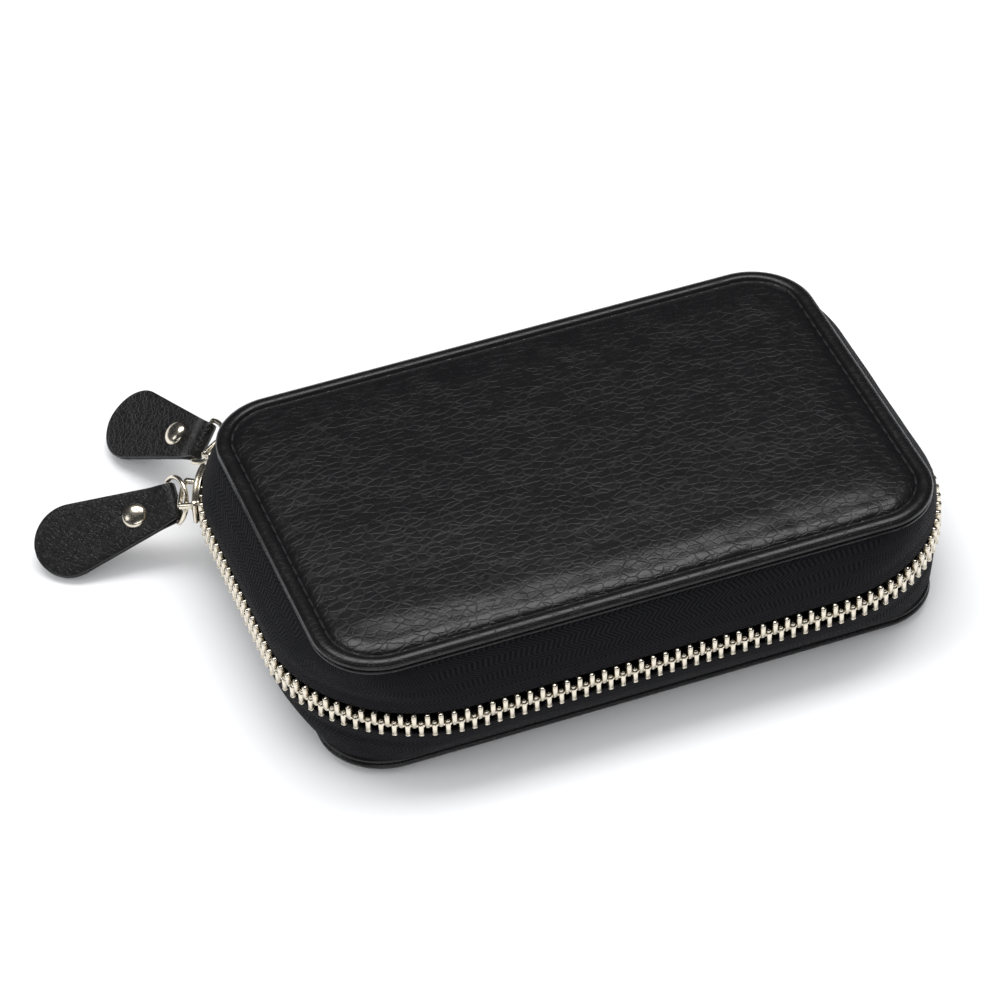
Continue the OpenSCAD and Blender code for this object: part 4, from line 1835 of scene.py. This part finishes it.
@dataclass
class Inside:
    """The pen panel and its loops, the lid's pocket, the divider flap and the linings.

    Attributes:
        leather: Finish of the panel, pocket and flap.
        elastic: Finish of the loops.
        thread: Finish of the stitches.
        lining: Finish of the linings.
        seam_in: Distance from a sheet's edge to its stitches, in millimetres.
        stitch: Distance from one stitch to the next.
        pen_r: Radius of a pen.
        pen_pitch: Distance from one pen to the next.
        loop_at: Distance of a band of loops from the middle.
        pocket_at: Middle of the lid's pocket.
        page_at: Middle of the divider.
    """

    leather: bpy.types.Material
    elastic: bpy.types.Material
    thread: bpy.types.Material
    lining: bpy.types.Material
    seam_in: float = 2.1
    stitch: float = 3.4
    pen_r: float = 7.0
    pen_pitch: float = 22.0
    loop_at: float = 35.0
    pocket_at: tuple[float, float] = (0, -13.4)
    page_at: tuple[float, float] = (0, 4.946)

    def sheet(
        self, name: str, outline: Outline, centre: tuple[float, float], low: float, high: float,
        material: bpy.types.Material,
    ) -> bpy.types.Object:
        """Builds a flat piece with a rounded outline and edges, and a faintly uneven face.

        Args:
            name: The piece's name.
            outline: Its outline.
            centre: Middle of the outline in X and Y.
            low: Height of its underside.
            high: Height of its top.
            material: Its finish.

        Returns:
            The piece.
        """
        bm = bmesh.new()
        thick = high - low
        edge = thick * 0.5
        fine = [0.0, 0.04, 0.12, 0.25, 0.4, 0.6, 0.9, 1.3, 1.7, 2.0, 2.3, 2.7, 3.2]
        xs, ys = grid_lines(outline.half_l, fine, 1.6), grid_lines(outline.half_w, fine, 1.6)
        for end in (-1, 1):

            def level(x: float, y: float, end: int = end) -> float:
                """Height of one face: rounded at the edge, pressed in along the stitches, faintly uneven.

                Args:
                    x: Place along X.
                    y: Place along Y.
                    end: Which face: −1 or 1.

                Returns:
                    The height, in millimetres.
                """
                depth = max(outline.inset(x, y), 0.0)
                round_in = edge * (1 - math.sqrt(max(1 - max(1 - depth / 0.5, 0) ** 2, 0)))
                uneven = 0.035 * (ripple(x * 0.07, y * 0.07, 31.0 + end) - 1) * smoothstep(0.5, 6.0, depth)
                press = 0.12 * math.exp(-(((depth - self.seam_in) / 0.35) ** 2))
                return (low + high) / 2 + end * (edge - round_in - press + uneven)

            grid = add_rounded_grid(bm, outline, xs, ys, level)
            faces = list({face for vert in grid for face in vert.link_faces})
            if end < 0:
                bmesh.ops.reverse_faces(bm, faces=faces)
        bmesh.ops.translate(bm, vec=(*centre, 0), verts=bm.verts)
        return finish_piece(bm, name, material, outward=False)

    def stitch_line(self, name: str, outline: Outline, centre: tuple[float, float], up: float) -> bpy.types.Object:
        """Builds a run of small stitches round an outline.

        Args:
            name: The piece's name.
            outline: The line that the stitches follow.
            centre: Its middle in X and Y.
            up: Its height.

        Returns:
            The piece.
        """
        bm = bmesh.new()
        total = sum(outline.lengths())
        count = round(total / self.stitch)
        for number in range(count):
            start, _ = outline.at(*outline.walk(total * (number + 0.15) / count))
            end, _ = outline.at(*outline.walk(total * (number + 0.85) / count))
            ahead = end - start
            turn = ahead.to_track_quat("X", "Z").to_matrix().to_4x4()
            middle = (start + end) / 2 + Vector((centre[0], centre[1], up))
            add_block(bm, (ahead.length, 0.5, 0.34), Matrix.Translation(middle) @ turn, 0.15, 2)
        return finish_piece(bm, name, self.thread)

    def strip(self, name: str, start: tuple, end: tuple, half_w: float, half_h: float) -> bpy.types.Object:
        """Builds a folded edge of leather that runs straight from start to end.

        Args:
            name: The piece's name.
            start: Middle of one end.
            end: Middle of the other end.
            half_w: Half of its width.
            half_h: Half of its thickness.

        Returns:
            The piece.
        """
        bm = bmesh.new()
        begin, finish = Vector(start), Vector(end)

        def skin(u: float, v: float) -> Vector:
            """Round the strip's section.

            Args:
                u: Part of the way along the strip.
                v: Part of the way round it.

            Returns:
                The point, in millimetres.
            """
            close = 0.55 + 0.45 * smoothstep(0.0, 0.008, min(u, 1 - u))
            across, up = squared(v, 0.6, 0.6)
            uneven = 0.04 * ripple(u * 30, v, 41.0)
            return begin.lerp(finish, u) + Vector((0, half_w * close * across, half_h * close * up + uneven))

        close_up(bm, add_surface(bm, 160, 20, skin, ((finish - begin).length, 7.0)), 0.003)
        return finish_piece(bm, name, self.leather)

    def build_loops(self, side: int) -> bpy.types.Object:
        """Builds one band of elastic as a row of four loops.

        Args:
            side: −1 for the left band, 1 for the right.

        Returns:
            The piece.
        """
        bm = bmesh.new()
        r, pitch = self.pen_r, self.pen_pitch
        half_band = 0.5
        out = r + half_band
        turn_r = 1.2
        ease = 0.7
        panel_up = 8.25

        def wall(part: float) -> tuple[float, float]:
            """Middle of the band over one pen's place, from −pitch/2 to pitch/2.

            Args:
                part: Part of the way across the pen's place.

            Returns:
                The place across the pen, and the height.
            """
            foot = pitch / 2 - out - turn_r
            rise = out - turn_r
            arch = math.pi * out
            bend = math.pi / 2 * turn_r
            total = 2 * (foot + bend + rise) + arch
            at = part * total
            flip = 1.0
            if at > total / 2:
                at = total - at
                flip = -1.0
            if at < foot:
                y, z = -pitch / 2 + at, half_band
            elif at < foot + bend:
                turn = (at - foot) / turn_r
                y = -pitch / 2 + foot + turn_r * math.sin(turn)
                z = half_band + turn_r * (1 - math.cos(turn))
            elif at < foot + bend + rise - ease:
                y, z = -out, half_band + turn_r + (at - foot - bend)
            else:
                turn = (at - foot - bend - rise + ease) / out * (arch / (arch + 2 * ease))
                y, z = -out * math.cos(turn), r + out * math.sin(turn)
            return flip * y, z

        def skin(u: float, v: float) -> Vector:
            """Round the band's section, along the four loops.

            Args:
                u: Part of the way along the band.
                v: Part of the way round its section.

            Returns:
                The point, in millimetres.
            """
            place = min(u * 4, 3.9999)
            number = int(place)
            part = place - number
            y, z = wall(part)
            ahead_y, ahead_z = wall(min(part + 0.004, 1.0))
            behind_y, behind_z = wall(max(part - 0.004, 0.0))
            ty, tz = ahead_y - behind_y, ahead_z - behind_z
            size = math.hypot(ty, tz) or 1.0
            ny, nz = -tz / size, ty / size
            across, lift = squared(v, 0.3, 0.5)
            lift *= 0.42
            rib = 0.035 * math.sin(across * 9.0 * math.pi * 2)
            lift += math.copysign(rib, lift) if abs(lift) > 0.3 else 0.0
            x = side * self.loop_at + 8.95 * across
            return Vector((x, y + (number - 1.5) * pitch + lift * ny, panel_up + z + lift * nz))

        close_up(bm, add_surface(bm, 340, 60, skin, (230.0, 38.0)), 0.003)
        word = "left" if side < 0 else "right"
        piece = finish_piece(bm, f"loop_band_{word}", self.elastic)
        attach(piece, "base")
        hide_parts(f"pen_loops_{word}")
        return piece

    def build(self) -> None:
        """Builds the pieces inside the case."""
        pen = Outline(73.4, 45.4, 9.4, 9.4)
        panel = self.sheet("pen_rest_panel", pen, (0, 0), 7.02, 8.2, self.leather)
        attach(panel, "base")
        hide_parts("pen_panel")
        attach(self.stitch_line("pen_panel_stitches", pen.shrunk(self.seam_in), (0, 0), 8.14), "base")
        for side in (-1, 1):
            self.build_loops(side)
        log.info("inside: pen panel and loops")
        cloth = Outline(77.4, 49.4, 13.4, 13.4)
        for side, low in ((Side.BOTTOM, 6.42), (Side.TOP, 32.02)):
            name = f"{side.panel}_lining_cloth"
            piece = self.sheet(name, cloth, (0, 0), low, low + 0.56, self.lining)
            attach(piece, side.body)
            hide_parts(f"{side.panel}_lining")
        pocket = Outline(70.0, 33.0, 5.0, 1.5)
        piece = self.sheet("lid_pocket_face", pocket, self.pocket_at, 30.82, 31.98, self.leather)
        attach(piece, "lid")
        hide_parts("lid_pocket")
        line = Outline(68.2, 31.2, 3.4, 1.0)
        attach(self.stitch_line("lid_pocket_stitches", line, self.pocket_at, 30.86), "lid")
        piece = self.strip("lid_pocket_edge", (-70.0, 20.8, 31.2), (70.0, 20.8, 31.2), 1.18, 0.78)
        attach(piece, "lid")
        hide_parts("lid_pocket_binding")
        page = Outline(54.0, 48.5, 12.0, 1.0)
        piece = self.sheet("divider_page", page, self.page_at, 24.64, 25.76, self.leather)
        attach(piece, "flap")
        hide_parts("divider_flap")
        line = Outline(51.9, 46.4, 9.9, 0.8)
        for word, up in (("low", 24.7), ("high", 25.7)):
            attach(self.stitch_line(f"divider_stitches_{word}", line, self.page_at, up), "flap")
        log.info("inside: linings, pocket and divider")


# ---------------------------------------------------------------- studio


@dataclass(frozen=True)
class Lamp:
    """An area lamp.

    Attributes:
        name: Its name.
        place: Where it stands, in metres.
        aim: Where it points.
        size: Its two sides, in metres.
        power: Watts.
    """

    name: str
    place: tuple[float, float, float]
    aim: tuple[float, float, float]
    size: tuple[float, float]
    power: float

    def build(self) -> bpy.types.Object:
        """Builds the lamp.

        Returns:
            The lamp.
        """
        data = bpy.data.lights.new(self.name, "AREA")
        data.shape = "RECTANGLE"
        data.size, data.size_y = self.size
        data.energy = self.power
        lamp = bpy.data.objects.new(self.name, data)
        lamp.location = self.place
        lamp.rotation_euler = (Vector(self.aim) - Vector(self.place)).to_track_quat("-Z", "Y").to_euler()
        bpy.context.scene.collection.objects.link(lamp)
        return lamp


@dataclass(frozen=True)
class Studio:
    """A pale floor, a pale room and soft lamps, and the camera."""

    azimuth: float = -18.62
    elevation: float = 41.74
    roll: float = -2.716
    target: tuple[float, float, float] = (-0.01736, 0.00542, 0.02485)
    distance: float = 1.166
    lens: float = 167.03

    def build_floor(self) -> None:
        """Builds the pale floor."""
        material = bpy.data.materials.new("floor")
        material.use_nodes = True
        n = Nodes(material.node_tree)
        shader = material.node_tree.nodes["Principled BSDF"]
        coords = n.add("ShaderNodeTexCoord")
        cloud = n.add("ShaderNodeTexNoise", {"Vector": coords.outputs["Object"], "Scale": 3.0, "Detail": 2.0})
        tint = n.blend(cloud.outputs["Fac"], (0.86, 0.86, 0.865, 1), (0.88, 0.88, 0.88, 1))
        n.tree.links.new(tint, shader.inputs["Base Color"])
        shader.inputs["Roughness"].default_value = 0.7
        shader.inputs["Specular IOR Level"].default_value = 0.2
        bm = bmesh.new()
        bmesh.ops.create_grid(bm, x_segments=8, y_segments=8, size=3.0)
        mesh = bpy.data.meshes.new("floor")
        bm.to_mesh(mesh)
        bm.free()
        floor = bpy.data.objects.new("floor", mesh)
        floor.data.materials.append(material)
        bpy.context.scene.collection.objects.link(floor)

    def build_world(self) -> None:
        """A white room for the camera, and a dimmer one for the object."""
        world = bpy.data.worlds.new("room")
        bpy.context.scene.world = world
        world.use_nodes = True
        n = Nodes(world.node_tree)
        back = world.node_tree.nodes["Background"]
        path = n.add("ShaderNodeLightPath")
        dim = n.blend(path.outputs["Is Glossy Ray"], (0.9, 0.91, 0.93, 1), (0.035, 0.036, 0.04, 1))
        n.tree.links.new(n.blend(path.outputs["Is Camera Ray"], dim, (1, 1, 1, 1)), back.inputs["Color"])
        back.inputs["Strength"].default_value = 1.0

    def build_camera(self) -> None:
        """Stands the camera at its angle, turned a little about its own axis."""
        azimuth, elevation, roll = (math.radians(v) for v in (self.azimuth, self.elevation, self.roll))
        back = Vector((
            math.sin(azimuth) * math.cos(elevation), -math.cos(azimuth) * math.cos(elevation), math.sin(elevation),
        ))
        right = Vector((math.cos(azimuth), math.sin(azimuth), 0))
        up = back.cross(right)
        side = right * math.cos(roll) + up * math.sin(roll)
        top = up * math.cos(roll) - right * math.sin(roll)
        data = bpy.data.cameras.new("camera")
        data.lens = self.lens
        data.sensor_width = 36.0
        camera = bpy.data.objects.new("camera", data)
        frame_axes = Matrix((side, top, back)).transposed().to_4x4()
        camera.matrix_world = Matrix.Translation(Vector(self.target) + back * self.distance) @ frame_axes
        bpy.context.scene.collection.objects.link(camera)
        bpy.context.scene.camera = camera

    def build(self) -> None:
        """Builds the floor, the room, the lamps and the camera."""
        self.build_floor()
        self.build_world()
        Lamp("overhead", (0.05, 0.30, 1.1), (0, 0, 0), (1.2, 0.5), 8.5).build()
        Lamp("front", (-0.25, -1.1, 0.42), (0, 0, 0.02), (1.1, 0.14), 2.0).build()
        Lamp("left", (-1.1, 0.1, 0.62), (0, 0, 0.02), (0.3, 0.4), 0.9).build()
        self.build_camera()
        settings = bpy.context.scene.view_settings
        settings.view_transform = "Standard"
        settings.look = "None"


# ---------------------------------------------------------------- the whole case


@dataclass
class PenCase:
    """The whole case, from its finishes to its pieces."""

    outer: Leather = field(default_factory=lambda: Leather("outer_leather", 2.0, 1.6, 0.05, rough=0.31))
    strap: Leather = field(default_factory=lambda: Leather("strap_leather", 1.5, 1.0, 0.09, rough=0.36))
    rim: Leather = field(default_factory=lambda: Leather("rim_leather", 1.0, 1.5, 0.02, rough=0.31))
    inner: Leather = field(default_factory=lambda: Leather("inner_leather", 0.8, 1.1, 0.03, rough=0.48))
    tape: Woven = field(default_factory=lambda: Woven("zip_tape", band=2.0, rib=1.15, yarn=0.7, smooth_to=13.0))
    lining: Woven = field(
        default_factory=lambda: Woven("lining_cloth", (0.012, 0.013, 0.018), band=1.2, rib=0.7, yarn=0.5, depth=0.1)
    )
    elastic: Woven = field(
        default_factory=lambda: Woven("elastic", (0.006, 0.006, 0.0065), band=40.0, rib=1.1, yarn=0.45, depth=0.16)
    )
    metal: Metal = field(default_factory=lambda: Metal("nickel"))
    thread: Thread = field(default_factory=lambda: Thread("thread"))
    board: Board = field(default_factory=lambda: Board("board"))
    foam: Board = field(default_factory=lambda: Board("foam", (0.2, 0.2, 0.21)))

    def build(self) -> None:
        """Builds every piece."""
        outer, rim, strap, inner = (item.make() for item in (self.outer, self.rim, self.strap, self.inner))
        metal, thread, tape, lining = (item.make() for item in (self.metal, self.thread, self.tape, self.lining))
        elastic, board, foam = self.elastic.make(), self.board.make(), self.foam.make()
        puff = Cushion().settle()
        for side in Side:
            panel = Panel(side, puff)
            skin = panel.build_skin(outer)
            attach(skin, side.body)
            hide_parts(f"{side.panel}_cover")
            bands = panel.build_bands(rim)
            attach(bands, side.body)
            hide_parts(f"{side.panel}_rim")
            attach(panel.build_stitches(thread), side.body)
            log.info("%s panel: face, rim and stitches", side.panel)
        Zip(tape, metal).build()
        for name, angle, lead, pose, seed in (
            ("front", 27.0, 1, (-27.0, 18.0, 168.0, 46.0), 51.0),
            ("rear", 58.0, -1, (-34.0, 20.0, 116.0, 0.0), 57.0),
        ):
            Slider(f"{name}_slider", angle, lead).build(metal)
            puller = Puller(name, angle, pose, seed)
            puller.build_ring(metal)
            puller.build_strap(strap)
            puller.build_rivet(metal)
            log.info("%s slider, ring, strap and rivet", name)
        Spine(outer, lining).build()
        Inside(inner, elastic, thread, lining).build()
        for name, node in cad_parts.items():
            if name.endswith("_board") or name.endswith("_pad"):
                node.data.materials.clear()
                node.data.materials.append(board if name.endswith("_board") else foam)


def main() -> None:
    """Builds the case and the studio."""
    logging.basicConfig(level=logging.INFO)
    PenCase().build()
    Studio().build()


if __name__ == "__main__":
    main()
